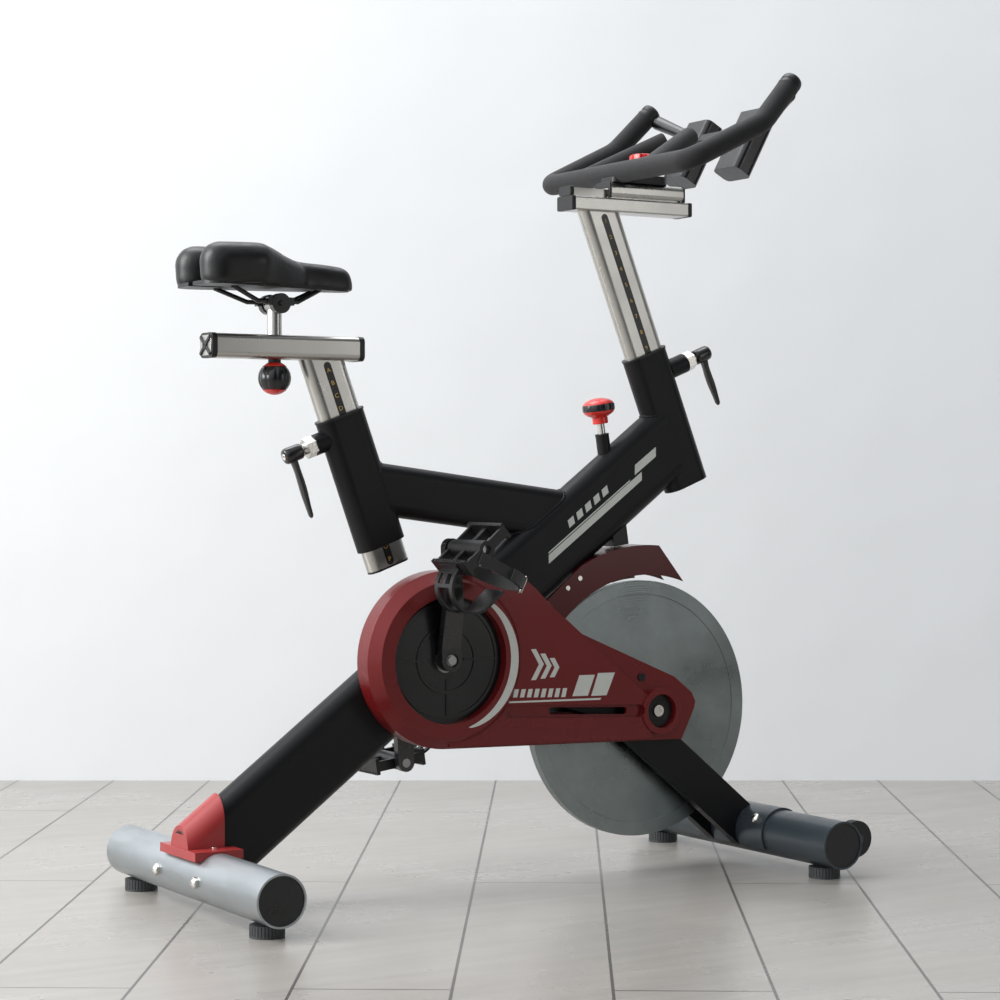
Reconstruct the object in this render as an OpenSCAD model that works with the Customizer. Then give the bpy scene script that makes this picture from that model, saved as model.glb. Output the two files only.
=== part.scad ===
/* [Stabilisers] */
// Distance between the centres of the front and rear stabiliser bars
bar_spacing = 978; // [900:1:1060]
// Length of each stabiliser bar
bar_length = 544; // [500:1:600]
// Outside diameter of each stabiliser bar
bar_d = 76; // [70:1:80]
// Height of a levelling foot, from the floor to the underside of the bar
foot_h = 18; // [14:1:24]
// Diameter of a levelling foot
foot_d = 50; // [40:1:56]
// Distance between the two feet of one bar
foot_spread = 450; // [400:1:460]
// Diameter of a transport wheel
wheel_d = 58; // [50:1:60]

/* [Frame] */
// Slope of the main beam above the floor, in degrees
beam_angle = 37; // [36:0.5:38]
// Height of the main beam's flat-oval section
beam_h = 120; // [110:1:124]
// Width of the main beam's flat-oval section
beam_w = 50; // [46:1:52]
// Height of the flat-oval section of the seat, head and top tubes
tube_h = 80; // [78:1:84]
// Width of the flat-oval section of the seat and head tubes
tube_w = 40; // [38:1:42]
// Wall of the frame tubes
tube_wall = 2.5; // [2:0.1:3]
// Lean of the seat tube, in degrees from the forward direction
seat_angle = 110; // [108:0.5:112]
// Lean of the head tube, in degrees from the forward direction
head_angle = 111.5; // [110:0.5:113]
// Length of the seat tube
seat_tube_length = 207; // [195:1:215]
// Length of the head tube
head_tube_length = 226; // [215:1:235]

/* [Drive] */
// Length of a crank, from the crank axle to the pedal spindle
crank_length = 172; // [165:0.5:175]
// Backward lean of the raised crank, in degrees
crank_lean = 2.3; // [0:0.1:5]
// Teeth of the chainring
chainring_teeth = 46; // [44:1:48]
// Teeth of the flywheel sprocket
sprocket_teeth = 18; // [17:1:19]
// Diameter of the flywheel
flywheel_d = 414; // [400:1:420]
// Thickness of the flywheel's rim
flywheel_t = 16; // [14:1:18]
// Lean of the raised pedal about its spindle, in degrees
pedal_turn = 139; // [130:1:145]

/* [Saddle and handlebar] */
// Height of the flat-oval section of both sliding posts
post_h = 70; // [68:1:72]
// Width of the flat-oval section of both sliding posts
post_w = 28; // [26:1:30]
// Length of the saddle rail
seat_rail_length = 234; // [225:1:245]
// Length of the handlebar rail
bar_rail_length = 218; // [212:1:230]
// Outside diameter of the foam-covered handlebar
grip_d = 34; // [30:1:36]
// Distance between the centres of the two outer handlebar arms
handlebar_width = 418; // [400:1:440]

/* [Hidden] */

$fn = 64;
running = 0.05;
eps = 0.02;

// Stabiliser bars and wheels
bar_r = bar_d / 2;
bar_wall = 3;
bar_x = bar_spacing / 2;
bar_z = foot_h + bar_r;
bolt_head = 8;
rear_bolt_y = 70;
// The band that ties the fork to the front bar
band_t = 3.5;
band_half = 114;
front_bolt_y = 92;
wheel_r = wheel_d / 2;
wheel_t = 16;
wheel_x = bar_x + 43;
wheel_z = bar_z + 5;
wheel_y = 246;
wheel_pin_r = 4;
foot_stud_r = 5;
bracket_top = 41;

// The origin is on the floor, midway between the rearmost bolt head and the front of the wheels
rear_reach = bar_x + bar_r + bolt_head;
front_reach = wheel_x + wheel_r;
shift_x = (rear_reach - front_reach) / 2;

// Crank and flywheel centres, from the middle of the bars and the floor
crank_x = -109;
crank_z = 358.5;
flywheel_x = 281;
flywheel_z = 262;
flywheel_r = flywheel_d / 2;

// Chain drive
pitch = 12.7;
chainring_r = pitch / 2 / sin(180 / chainring_teeth);
sprocket_r = pitch / 2 / sin(180 / sprocket_teeth);
chain_y = -51;
chain_w = 7.6;
chain_h = 8.6;
drive_span = sqrt((flywheel_x - crank_x) ^ 2 + (flywheel_z - crank_z) ^ 2);
drive_slope = atan2(flywheel_z - crank_z, flywheel_x - crank_x);

// Crankset
crank_axle_r = 8.5;
crank_inner_y = 79;
crank_t = 13;
crank_outer_y = crank_inner_y + crank_t;
crank_hub_y = 77.5;
spindle_r = 7;
bb_shell_r = 23;
bb_shell_half = 34;
bb_bearing_r = 17.5;
pedal_y = 146;
pedal_half_w = 48;
pedal_half_l = 44;
right_pedal = [crank_x - crank_length * sin(crank_lean), crank_z + crank_length * cos(crank_lean)];
left_pedal = [2 * crank_x - right_pedal[0], 2 * crank_z - right_pedal[1]];
left_pedal_turn = -8;

// Frame tubes
seat_foot = [-190, 534];
head_foot = [377.5, 624.5];
top_tube_start = [-222, 622.4];
top_tube_angle = -7.5;
top_tube_length = 398;
head_hit = 571;
beam_tail = (-bar_x - crank_x) / cos(beam_angle);
bushing_lip = 3;
bushing_depth = 42;

// Fork and flywheel bearings
leg_inner_y = beam_w / 2;
leg_t = 19;
leg_w = 64;
leg_below = 35;
leg_angle = -39.5;
leg_from = -14;
leg_drop = 306;
stay_w = 70;
stay_length = 352;
stay_angle = 164;
axle_r = 10;
hub_bearing_r = 21;
hub_bearing_t = 12;

// Brake, on a line through the flywheel's axle
brake_angle = 98.7;
brake_rod_r = 6;
pad_gap = 4.5;

// Levers
seat_lever_at = seat_foot + 180 * [cos(seat_angle), sin(seat_angle)];
bar_lever_at = head_foot + 187 * [cos(head_angle), sin(head_angle)];
seat_boss_end = 56;
bar_boss_end = 70;
nut_t = 15;

// Chain cover
cover_r = 136;
cover_hole_r = 97;
cover_rim_r = 120;
cover_wall = 3;
cover_back_y = 27;
cover_split_y = 44;
cover_low_y = 60;
cover_panel_y = 70;
cover_ring_y = 76;
cover_screw = [249, 317];
cover_screw_r = 2.5;
fender_screws = [[152, 476], [129, 461]];
nose_hole_r = 27;
nose_ring_r = 37;
cover_low_points = [[-109, 358], [-109, 222.5], [328, 214], [352, 262], [355, 273], [348, 288],
    [314, 315], [136, 390], [72, 440], [46, 466], [18, 488], [-109, 494.5]];
cover_panel_points = [[-109, 226], [262, 219], [262, 283], [72, 438], [46, 463], [18, 485], [-109, 491]];

// Saddle
seat_rail_z = 830;
seat_rail_h = 36;
seat_rail_w = 44;
seat_rail_x = -354;
carriage_x = -369;
saddle_pivot_z = 894;
rail_rod_r = 3.5;
seat_back_travel = 35;
seat_front_travel = 20;

// Handlebar
bar_rail_x = 258;
bar_rail_z = 1062;
bar_rail_h = 22;
bar_rail_w = 44;
guide_w = 26;
guide_h = 14;
sleeve_x = 287;
sleeve_length = 140;
sleeve_h = 26;
sleeve_w = 46;
handlebar_z = 1127;
knob_x = 292;
stem_h = 14;
stem_top = bar_rail_z + bar_rail_h + 0.1 + sleeve_h + stem_h;
grip_r = grip_d / 2;
cup_tilt = 28.7;
cup_y = 74;
cup_h = 112;
cup_foot = [416, 1129];

// ---- helpers ----

// Moves a piece from the bars' midpoint frame to the model's own origin
module in_place() translate([shift_x, 0, 0]) children();

// A flat plate: a drawing in the side view (x forward, y up) made solid from y0 to y1 across the bike
module side_plate(y0, y1) translate([0, max(y0, y1), 0]) rotate([90, 0, 0]) linear_extrude(abs(y1 - y0)) children();

// Points the local z axis along a slope in the side view, with local x in the same plane
module aim(p, a) translate([p[0], 0, p[1]]) rotate([0, 90 - a, 0]) children();

module across(p, y0, y1, r) translate([p[0], min(y0, y1), p[1]]) rotate([-90, 0, 0]) cylinder(h = abs(y1 - y0), r = r);

module flat_oval(h, w) {
    square([h - w, w], center = true);
    for (s = [-1, 1]) translate([s * (h - w) / 2, 0]) circle(d = w);
}

module oval_bar(length, h, w) linear_extrude(length) flat_oval(h, w);

module oval_pipe(length, h, w, wall) linear_extrude(length) difference() {
    flat_oval(h, w);
    flat_oval(h - 2 * wall, w - 2 * wall);
}

module rod(a, b, r) {
    d = b - a;
    translate(a) rotate([0, acos(d[2] / norm(d)), atan2(d[1], d[0])]) cylinder(h = norm(d), r = r);
}

// A run of round bars with ball corners
module bent_rod(points, r) {
    for (i = [0:len(points) - 2]) rod(points[i], points[i + 1], r);
    for (i = [1:len(points) - 2]) translate(points[i]) sphere(r = r + 0.1, $fn = 48);
}

// Two circles and the straight band that touches both
module tapered_bar(length, r1, r2) {
    a = acos((r1 - r2) / length);
    circle(r = r1);
    translate([length, 0]) circle(r = r2);
    polygon([[r1 * cos(a), r1 * sin(a)], [length + r2 * cos(a), r2 * sin(a)],
        [length + r2 * cos(a), -r2 * sin(a)], [r1 * cos(a), -r1 * sin(a)]]);
}

module rounded_square(x, y, r) {
    square([x - 2 * r, y], center = true);
    square([x, y - 2 * r], center = true);
    for (i = [-1, 1], j = [-1, 1]) translate([i * (x / 2 - r), j * (y / 2 - r)]) circle(r = r);
}

module both_sides() for (m = [0, 1]) mirror([0, m, 0]) children();

// Corner of an outline, moved inward by d; the points run anticlockwise
function unit(v) = v / norm(v);
function inward(a, b) = let (u = unit(b - a)) [-u[1], u[0]];
function inset(p, d) = let (n = len(p)) [for (i = [0:n - 1])
    let (m = inward(p[(i + n - 1) % n], p[i]), k = inward(p[i], p[(i + 1) % n]))
    p[i] + d * (m + k) / (1 + m * k)];

// ---- frame ----

module beam_body() aim([crank_x, crank_z], beam_angle) translate([0, 0, beam_tail])
    oval_bar(head_hit - beam_tail, beam_h, beam_w);

module head_body() aim(head_foot, head_angle) translate([0, 0, -60])
    oval_bar(head_tube_length + 120, tube_h, tube_w);

module brake_line(from, to, r) translate([flywheel_x, 0, flywheel_z]) rotate([0, 90 - brake_angle, 0])
    translate([0, 0, from]) cylinder(h = to - from, r = r);

module main_beam() color("#202123") in_place() {
    difference() {
        beam_body();
        aim([crank_x, crank_z], beam_angle) translate([0, 0, beam_tail - 10])
            oval_bar(head_hit - 60 - beam_tail, beam_h - 2 * tube_wall, beam_w - 2 * tube_wall);
        head_body();
        aim(head_foot, head_angle) translate([-8, -100, -300]) cube([300, 200, 900]);
        across([-bar_x, bar_z], -100, 100, bar_r);
        translate([-600, -100, -100]) cube([200, 200, bar_z + 76]);
        across([crank_x, crank_z], -100, 100, bb_bearing_r);
        brake_line(200, 450, brake_rod_r + 1);
    }
    difference() {
        across([crank_x, crank_z], -bb_shell_half, bb_shell_half, bb_shell_r);
        across([crank_x, crank_z], -bb_shell_half - 1, bb_shell_half + 1, bb_bearing_r);
    }
}

module top_tube() color("#202123") in_place() difference() {
    aim(top_tube_start, top_tube_angle) oval_pipe(top_tube_length, tube_h, tube_w - 2, tube_wall);
    aim(seat_foot, seat_angle) oval_bar(seat_tube_length, tube_h, tube_w);
    beam_body();
}

module seat_tube() color("#202123") in_place()
    aim(seat_foot, seat_angle) oval_pipe(seat_tube_length, tube_h, tube_w, tube_wall);

module head_tube() color("#202123") in_place()
    aim(head_foot, head_angle) oval_pipe(head_tube_length, tube_h, tube_w, tube_wall);

module leg_outline(extra) {
    translate([flywheel_x, flywheel_z]) {
        rotate(leg_angle) translate([leg_from, -leg_below - leg_w / 2 - extra])
            square([leg_drop, leg_w + 2 * extra]);
        rotate(stay_angle) translate([0, -stay_w / 2 - extra]) square([stay_length, stay_w + 2 * extra]);
        circle(r = stay_w / 2 + 1 + extra);
    }
}

module fork() color("#202123") in_place() difference() {
    both_sides() side_plate(leg_inner_y, leg_inner_y + leg_t) leg_outline(0);
    across([bar_x, bar_z], -100, 100, bar_r + band_t);
    across([flywheel_x, flywheel_z], -100, 100, hub_bearing_r);
}

module front_band() color("#3f464d") in_place() difference() {
    intersection() {
        across([bar_x, bar_z], -band_half, band_half, bar_r + band_t);
        translate([bar_x - 60, -band_half - 5, bar_z - 24]) cube([82, 2 * band_half + 10, 90]);
    }
    across([bar_x, bar_z], -band_half - 10, band_half + 10, bar_r);
}

module bar_tube() difference() {
    across([0, bar_z], -bar_length / 2, bar_length / 2, bar_r);
    across([0, bar_z], -bar_length / 2 - 1, bar_length / 2 + 1, bar_r - bar_wall);
    for (s = [-1, 1]) translate([0, s * foot_spread / 2, 0]) cylinder(h = bar_z, r = foot_stud_r + running);
}

module rear_bar() color("#9ba1a6") in_place() translate([-bar_x, 0, 0]) bar_tube();

module wheel_ear(y0, y1) side_plate(y0, y1) difference() {
    union() {
        translate([wheel_x, wheel_z]) circle(r = 8);
        translate([bar_x + 30, wheel_z - 8]) square([13, 16]);
    }
    translate([bar_x, bar_z]) circle(r = bar_r - 1);
}

module front_bar() color("#3f464d") in_place() {
    difference() {
        translate([bar_x, 0, 0]) bar_tube();
        for (s = [-1, 1]) translate([bar_x + 8, s * wheel_y - wheel_t / 2 - 3, 0]) cube([60, wheel_t + 6, 120]);
    }
    both_sides() {
        wheel_ear(wheel_y - wheel_t / 2 - 6, wheel_y - wheel_t / 2 - 2);
        wheel_ear(wheel_y + wheel_t / 2 + 2, wheel_y + wheel_t / 2 + 6);
        across([wheel_x, wheel_z], wheel_y - wheel_t / 2 - 6, wheel_y + wheel_t / 2 + 6, wheel_pin_r);
    }
}

module bar_end_caps() color("#17181a") in_place()
    for (x = [-bar_x, bar_x], s = [-1, 1])
        across([x, bar_z], s * (bar_length / 2 - 2), s * (bar_length / 2 - 10), bar_r - bar_wall);

module dome_bolt(r, h) {
    cylinder(h = h - r * 0.35, r = r * 0.95, $fn = 6);
    intersection() {
        translate([0, 0, -r * 0.15]) sphere(r = r * 1.1, $fn = 32);
        cylinder(h = h, r = r * 0.8);
    }
}

module side_screw(p, y, r) {
    across(p, -y, -y - 2, r);
    across(p, -y + 4, -y, cover_screw_r);
}

module plunger_nut(p, a, from) aim(p, a) translate([0, 0, from]) difference() {
    union() {
        cylinder(h = nut_t, r = 16, $fn = 6);
        translate([0, 0, nut_t]) cylinder(h = 5, r = 9);
    }
    translate([0, 0, -1]) cylinder(h = 30, r = 5 + running);
}

module frame_bolts() color("#c9ccce") in_place() {
    for (s = [-1, 1]) translate([-bar_x - bar_r, s * rear_bolt_y, bar_z]) rotate([0, -90, 0])
        dome_bolt(9, bolt_head);
    for (s = [-1, 1]) translate([bar_x, s * front_bolt_y, bar_z]) rotate([0, -56, 0])
        translate([0, 0, bar_r + band_t]) dome_bolt(9, bolt_head);
    for (p = fender_screws) side_screw(p, 29, 4);
    side_screw(cover_screw, cover_low_y, 6);
    translate([-484, -36, bar_z + bracket_top]) cylinder(h = 2.5, r = 4);
    plunger_nut(seat_lever_at, seat_angle + 90, seat_boss_end);
    plunger_nut(bar_lever_at, head_angle - 90, bar_boss_end);
}

module rear_bracket() color("#a03a3a") in_place() difference() {
    union() {
        translate([-bar_x - 37, -64, bar_z + 28]) cube([76, 128, bracket_top - 28]);
        intersection() {
            aim([crank_x, crank_z], beam_angle) translate([0, 0, beam_tail - 60])
                oval_bar(240, beam_h + 12, beam_w + 14);
            translate([-bar_x - 34, -60, bar_z + bracket_top - 1]) cube([58, 120, 120]);
        }
    }
    across([-bar_x, bar_z], -100, 100, bar_r);
    aim([crank_x, crank_z], beam_angle) translate([0, 0, beam_tail]) oval_bar(200, beam_h, beam_w);
}

module bushing(p, a, length) aim(p, a) difference() {
    union() {
        translate([0, 0, length - bushing_depth]) oval_bar(bushing_depth, tube_h - 2 * tube_wall, tube_w - 2 * tube_wall);
        translate([0, 0, length]) oval_bar(bushing_lip, tube_h + 2, tube_w + 2);
    }
    translate([0, 0, length - 100]) oval_bar(200, post_h + 2 * running, post_w + 2 * running);
}

module post_bushings() color("#1b1c1e") in_place() {
    bushing(seat_foot, seat_angle, seat_tube_length);
    bushing(head_foot, head_angle, head_tube_length);
}

module lever_boss(p, a, to) aim(p, a) difference() {
    translate([0, 0, tube_h / 2 - 6]) cylinder(h = to - tube_h / 2 + 6, r = 16);
    cylinder(h = 200, r = 5 + running);
}

module tube_bosses() color("#202123") in_place() {
    difference() {
        lever_boss(seat_lever_at, seat_angle + 90, seat_boss_end);
        aim(seat_foot, seat_angle) oval_bar(seat_tube_length, tube_h, tube_w);
    }
    difference() {
        lever_boss(bar_lever_at, head_angle - 90, bar_boss_end);
        head_body();
    }
    difference() {
        brake_line(390, 448, 11);
        brake_line(380, 450, brake_rod_r + running);
        beam_body();
    }
}

module brake_bracket() color("#1b1c1e") in_place() difference() {
    translate([flywheel_x, 0, flywheel_z]) rotate([0, 90 - brake_angle, 0])
        translate([-14, -16, 268]) cube([28, 32, 40]);
    brake_line(250, 340, brake_rod_r + running);
    beam_body();
}

// ---- chain cover ----

module cover_side(points, inward_by) {
    polygon(inset(points, inward_by));
    translate([crank_x, crank_z]) circle(r = cover_r - inward_by, $fn = 128);
}

module cover_shell(y0, y1, wall) side_plate(y0, y1) difference() {
    cover_side(cover_low_points, 0);
    cover_side(cover_low_points, wall);
}

module cover_outer() color("#5e1c1f") in_place() difference() {
    union() {
        cover_shell(-cover_split_y, -cover_low_y, cover_wall);
        side_plate(-cover_low_y + cover_wall, -cover_low_y) cover_side(cover_low_points, 0);
        side_plate(-cover_low_y + eps, -cover_panel_y) polygon(cover_panel_points);
        translate([crank_x, -cover_low_y, crank_z]) rotate([90, 0, 0])
            cylinder(h = cover_ring_y - cover_low_y, r1 = cover_r, r2 = cover_rim_r, $fn = 128);
        across([flywheel_x, flywheel_z], -cover_low_y + eps, -cover_panel_y - 3, nose_ring_r);
    }
    across([crank_x, crank_z], -200, 0, cover_hole_r);
    across([flywheel_x, flywheel_z], -200, 0, nose_hole_r);
    across(cover_screw, -200, 0, cover_screw_r);
    side_plate(-100, -cover_panel_y + 7) translate([117, 270]) rotate(-2.6) flat_oval(262, 20);
    side_plate(-100, 0) translate([146, 268.7]) rotate(-2.6) flat_oval(146, 11);
}

module cover_inner() color("#5e1c1f") in_place() difference() {
    union() {
        cover_shell(-cover_back_y, -cover_split_y, cover_wall);
        side_plate(-cover_back_y, -cover_back_y - 2.5) cover_side(cover_low_points, 0);
    }
    across([crank_x, crank_z], -200, 0, bb_shell_r + 1);
    side_plate(-20, -46) leg_outline(1);
    side_plate(-20, -46) translate([146, 268.7]) rotate(-2.6) flat_oval(146, 11);
}

module cover_disc() color("#141416") in_place() difference() {
    union() {
        across([crank_x, crank_z], -57.5, -60, cover_hole_r - 0.2);
        for (ring = [90, 52]) difference() {
            across([crank_x, crank_z], -58, -62, ring);
            across([crank_x, crank_z], -57, -63, ring - 5);
        }
        for (a = [0:90:270]) translate([crank_x, -62, crank_z]) rotate([0, -a, 0])
            translate([30, 0, -1.5]) cube([56, 3, 3]);
    }
    across([crank_x, crank_z], -70, -50, 20);
}

// ---- fender ----

fender_in = 217;
fender_out = 265;
fender_points = [[-200, 0], [-189, 181], [-110, 246], [-110, 300], [23, 300], [23, 265], [74, 202], [40, 0]];

module fender_side(inner, outer) translate([flywheel_x, flywheel_z]) intersection() {
    difference() {
        circle(r = outer, $fn = 128);
        circle(r = inner, $fn = 128);
    }
    polygon(fender_points);
    polygon([[0, 0], [-290, 276], [-290, 400], [200, 400], [136, 372]]);
}

module fender() color("#6a2022") in_place() difference() {
    side_plate(-29, 29) fender_side(fender_in, fender_out);
    side_plate(-26, 26) fender_side(fender_in - 5, fender_out - 3);
    aim([crank_x, crank_z], beam_angle) oval_bar(head_hit, beam_h, beam_w + 1);
    brake_line(240, 300, brake_rod_r + 3);
    for (p = fender_screws) across(p, -40, 0, cover_screw_r);
}

// ---- crankset ----

module crank_axle() color("#8e9194") in_place() {
    across([crank_x, crank_z], -crank_hub_y + 3, crank_hub_y - 3, crank_axle_r);
    both_sides() across([crank_x, crank_z], crank_hub_y - 3, crank_hub_y + 1.5, 7);
}

module chain_loop(y0, y1, offset_by) side_plate(y0, y1) translate([crank_x, crank_z]) rotate(drive_slope)
    tapered_bar(drive_span, chainring_r + offset_by, sprocket_r + offset_by);

module chain() color("#3a3b3d") in_place() difference() {
    chain_loop(chain_y - chain_w / 2, chain_y + chain_w / 2, chain_h / 2);
    chain_loop(chain_y - chain_w, chain_y + chain_w, -chain_h / 2);
}

// The wheels of the drive end just inside the chain's inner line
module drive_ring(r, teeth) difference() {
    circle(r = r - chain_h / 2 - 0.3, $fn = 96);
    for (i = [0:teeth - 1]) rotate(i * 360 / teeth) translate([r - chain_h / 2 + 1.6, 0]) circle(r = 3.4, $fn = 16);
}

module chainring() color("#6d7073") in_place() translate([crank_x, 0, crank_z]) difference() {
    union() {
        side_plate(chain_y - 2, chain_y + 2) difference() {
            drive_ring(chainring_r, chainring_teeth);
            for (i = [0:4]) rotate(i * 72) translate([50, 0]) circle(r = 19);
        }
        across([0, 0], -46, -56, 22);
    }
    across([0, 0], -100, 0, crank_axle_r);
}

module crank_arm(boss_from) difference() {
    union() {
        intersection() {
            side_plate(-crank_hub_y + crank_t, -crank_outer_y) tapered_bar(crank_length, 17, 14);
            linear_extrude(60, center = true) polygon([[-30, -crank_hub_y + crank_t],
                [24, -crank_hub_y + crank_t], [80, -crank_inner_y], [200, -crank_inner_y],
                [200, -crank_outer_y], [75, -crank_outer_y], [19, -crank_hub_y], [-30, -crank_hub_y]]);
        }
        across([0, 0], -boss_from, -crank_hub_y + crank_t - 1, 16);
    }
    across([0, 0], -boss_from + 1, -crank_hub_y + 3, crank_axle_r);
    across([0, 0], -crank_hub_y + 3, -crank_hub_y - 2, 11);
    across([crank_length, 0], -crank_inner_y + 1, -crank_outer_y - 1, spindle_r);
}

module crank_right() color("#1a1a1c") in_place()
    translate([crank_x, 0, crank_z]) rotate([0, -90 - crank_lean, 0]) crank_arm(57.5);

module crank_left() color("#1a1a1c") in_place() mirror([0, 1, 0])
    translate([crank_x, 0, crank_z]) rotate([0, 90 - crank_lean, 0]) crank_arm(45);

module pedal_spindle(p) {
    across(p, -crank_inner_y, -pedal_y - 40, spindle_r);
    across(p, -crank_outer_y, -crank_outer_y - 3, 9.5);
}

module pedal_spindles() color("#9a9da0") in_place() {
    pedal_spindle(right_pedal);
    mirror([0, 1, 0]) pedal_spindle(left_pedal);
}

// ---- pedals: local x to the toe, y across, z to the sole ----

module pedal_place(p, turn, side) translate([p[0], side * pedal_y, p[1]]) rotate([0, turn, 0]) children();

module pedal_body() difference() {
    union() {
        across([0, 0], -pedal_half_w, pedal_half_w, 13);
        for (s = [-1, 1]) {
            translate([-pedal_half_l, s * (pedal_half_w - 3) - 3, -8]) cube([2 * pedal_half_l, 6, 16]);
            translate([s * (pedal_half_l - 3) - 3, -pedal_half_w, -13]) cube([6, 2 * pedal_half_w, 26]);
        }
        translate([-pedal_half_l, -5, -7]) cube([2 * pedal_half_l, 10, 14]);
    }
    across([0, 0], -pedal_half_w - 1, pedal_half_w + 1, spindle_r + running);
    for (s = [-1, 1], i = [-5:5], z = [-13, 13])
        translate([s * (pedal_half_l - 3), i * 8.5, z]) rotate([45, 0, 90]) cube([3.6, 10, 3.6], center = true);
}

cage_r = 38;
cage_w = 52;

module cage_band() {
    translate([pedal_half_l, cage_r]) difference() {
        circle(r = cage_r + 1.5);
        circle(r = cage_r - 2.5);
        translate([-100, -100]) square([100, 200]);
    }
    translate([10, 2 * cage_r - 2.5]) square([pedal_half_l - 10, 4]);
}

module toe_cage() {
    difference() {
        side_plate(-cage_w / 2, cage_w / 2) cage_band();
        for (s = [-1, 1]) translate([0, s * 11 - 6.5, 0]) cube([pedal_half_l + 25, 13, 64]);
        translate([pedal_half_l + 3, -16, 12]) cube([60, 32, 52]);
    }
    translate([pedal_half_l, -cage_w / 2, -9]) cube([3, cage_w, 12]);
}

// The strap is an arch over the foot, from slots in the pedal's sides
strap_half = pedal_half_w + 2.5;
strap_top = 103;
strap_x = 17.5;
strap_lean = 22.7;

module strap_band(grow) {
    translate([0, strap_top - strap_half]) circle(r = strap_half + grow);
    translate([-strap_half - grow, 0]) square([2 * (strap_half + grow), strap_top - strap_half]);
}

module toe_strap() translate([strap_x, 0, 0]) rotate([0, -strap_lean, 0]) translate([-9, 0, 0]) rotate([90, 0, 90])
    linear_extrude(18) difference() {
        strap_band(0);
        strap_band(-2.5);
        translate([-200, -99]) square([400, 100]);
    }

module pedal_right() color("#17181a") in_place() pedal_place(right_pedal, pedal_turn, -1) pedal_body();
module toe_cage_right() color("#1c1d1f") in_place() pedal_place(right_pedal, pedal_turn, -1) toe_cage();
module toe_strap_right() color("#222325") in_place() pedal_place(right_pedal, pedal_turn, -1) toe_strap();
module pedal_left() color("#17181a") in_place() pedal_place(left_pedal, left_pedal_turn, 1) pedal_body();
module toe_cage_left() color("#1c1d1f") in_place() pedal_place(left_pedal, left_pedal_turn, 1) toe_cage();
module toe_strap_left() color("#222325") in_place() pedal_place(left_pedal, left_pedal_turn, 1) toe_strap();

// ---- flywheel ----

module flywheel() color("#a9adab") in_place() translate([flywheel_x, 0, flywheel_z]) difference() {
    union() {
        across([0, 0], -flywheel_t / 2, flywheel_t / 2, flywheel_r, $fn = 128);
        across([0, 0], -20, 20, 42);
    }
    both_sides() difference() {
        across([0, 0], flywheel_t / 2 - 1.5, flywheel_t / 2 + 1, flywheel_r - 22, $fn = 128);
        across([0, 0], flywheel_t / 2 - 3, flywheel_t / 2 + 3, 60);
    }
    across([0, 0], -50, 50, axle_r);
}

module flywheel_axle() color("#8e9194") in_place() {
    across([flywheel_x, flywheel_z], -57, 50, axle_r);
    both_sides() across([flywheel_x, flywheel_z], 20, 27, 14);
    difference() {
        across([flywheel_x, flywheel_z], -57, -64, 9.2);
        translate([flywheel_x, -61, flywheel_z]) rotate([90, 0, 0]) cylinder(h = 5, r = 4.6, $fn = 6);
    }
}

module sprocket() color("#6d7073") in_place() translate([flywheel_x, 0, flywheel_z]) difference() {
    union() {
        side_plate(chain_y - 2, chain_y + 2) drive_ring(sprocket_r, sprocket_teeth);
        across([0, 0], -46, -57, 18);
    }
    across([0, 0], -100, 0, axle_r);
}

module bearing_ring(p, y0, y1, r_out, r_in) difference() {
    across(p, y0, y1, r_out);
    across(p, y0 - 5, y1 + 5, r_in);
}

module bearings() color("#b4b7b9") in_place() both_sides() {
    bearing_ring([crank_x, crank_z], bb_shell_half - 12, bb_shell_half - 2, bb_bearing_r, crank_axle_r + running);
    bearing_ring([flywheel_x, flywheel_z], 29, 29 + hub_bearing_t, hub_bearing_r, axle_r + running);
}

// ---- saddle ----

module seat_post() color("#c3c5c4") in_place() difference() {
    aim(seat_foot, seat_angle) translate([0, 0, -33]) oval_pipe(390, post_h, post_w, 3);
    translate([-500, -100, seat_rail_z - seat_rail_h / 2]) cube([500, 200, 200]);
}

module seat_rail() color("#b9bab7") in_place() difference() {
    translate([seat_rail_x - seat_rail_length / 2, 0, seat_rail_z]) rotate([90, 0, 90])
        linear_extrude(seat_rail_length) difference() {
            rounded_square(seat_rail_w, seat_rail_h, 9);
            square([seat_rail_w - 10, seat_rail_h - 10], center = true);
        }
    translate([carriage_x - seat_back_travel - 13, -12, seat_rail_z])
        cube([seat_back_travel + seat_front_travel + 26, 24, 30]);
    translate([carriage_x - seat_back_travel - 7, -7, seat_rail_z - 30])
        cube([seat_back_travel + seat_front_travel + 14, 14, 30]);
}

module rail_cap(length, w, h, r) rotate([90, 0, 90]) linear_extrude(length) rounded_square(w, h, r);

module seat_rail_caps() color("#1b1c1e") in_place() {
    for (x = [seat_rail_x - seat_rail_length / 2 - 8, seat_rail_x + seat_rail_length / 2])
        translate([x, 0, seat_rail_z]) rail_cap(8, seat_rail_w + 1, seat_rail_h + 1, 9);
    aim(seat_foot, seat_angle) translate([0, 0, -36]) oval_bar(3, post_h, post_w);
}

module saddle_carriage() color("#c3c5c4") in_place() difference() {
    union() {
        translate([carriage_x - 24, -16.9, seat_rail_z - 12.9]) cube([48, 33.8, 25.8]);
        translate([carriage_x, 0, seat_rail_z]) cylinder(h = saddle_pivot_z - seat_rail_z - 8, r = 11);
        across([carriage_x, saddle_pivot_z], -12.9, 12.9, 13);
    }
    across([carriage_x, saddle_pivot_z], -20, 20, 4 + running);
    translate([carriage_x, 0, seat_rail_z - 13]) cylinder(h = 20, r = 5 + running);
}

module seat_knob() color("#24262a") in_place() translate([carriage_x, 0, seat_rail_z - 46]) {
    sphere(r = 25, $fn = 64);
    cylinder(h = 27.6, r = 9);
    cylinder(h = 50, r = 5);
}

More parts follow.
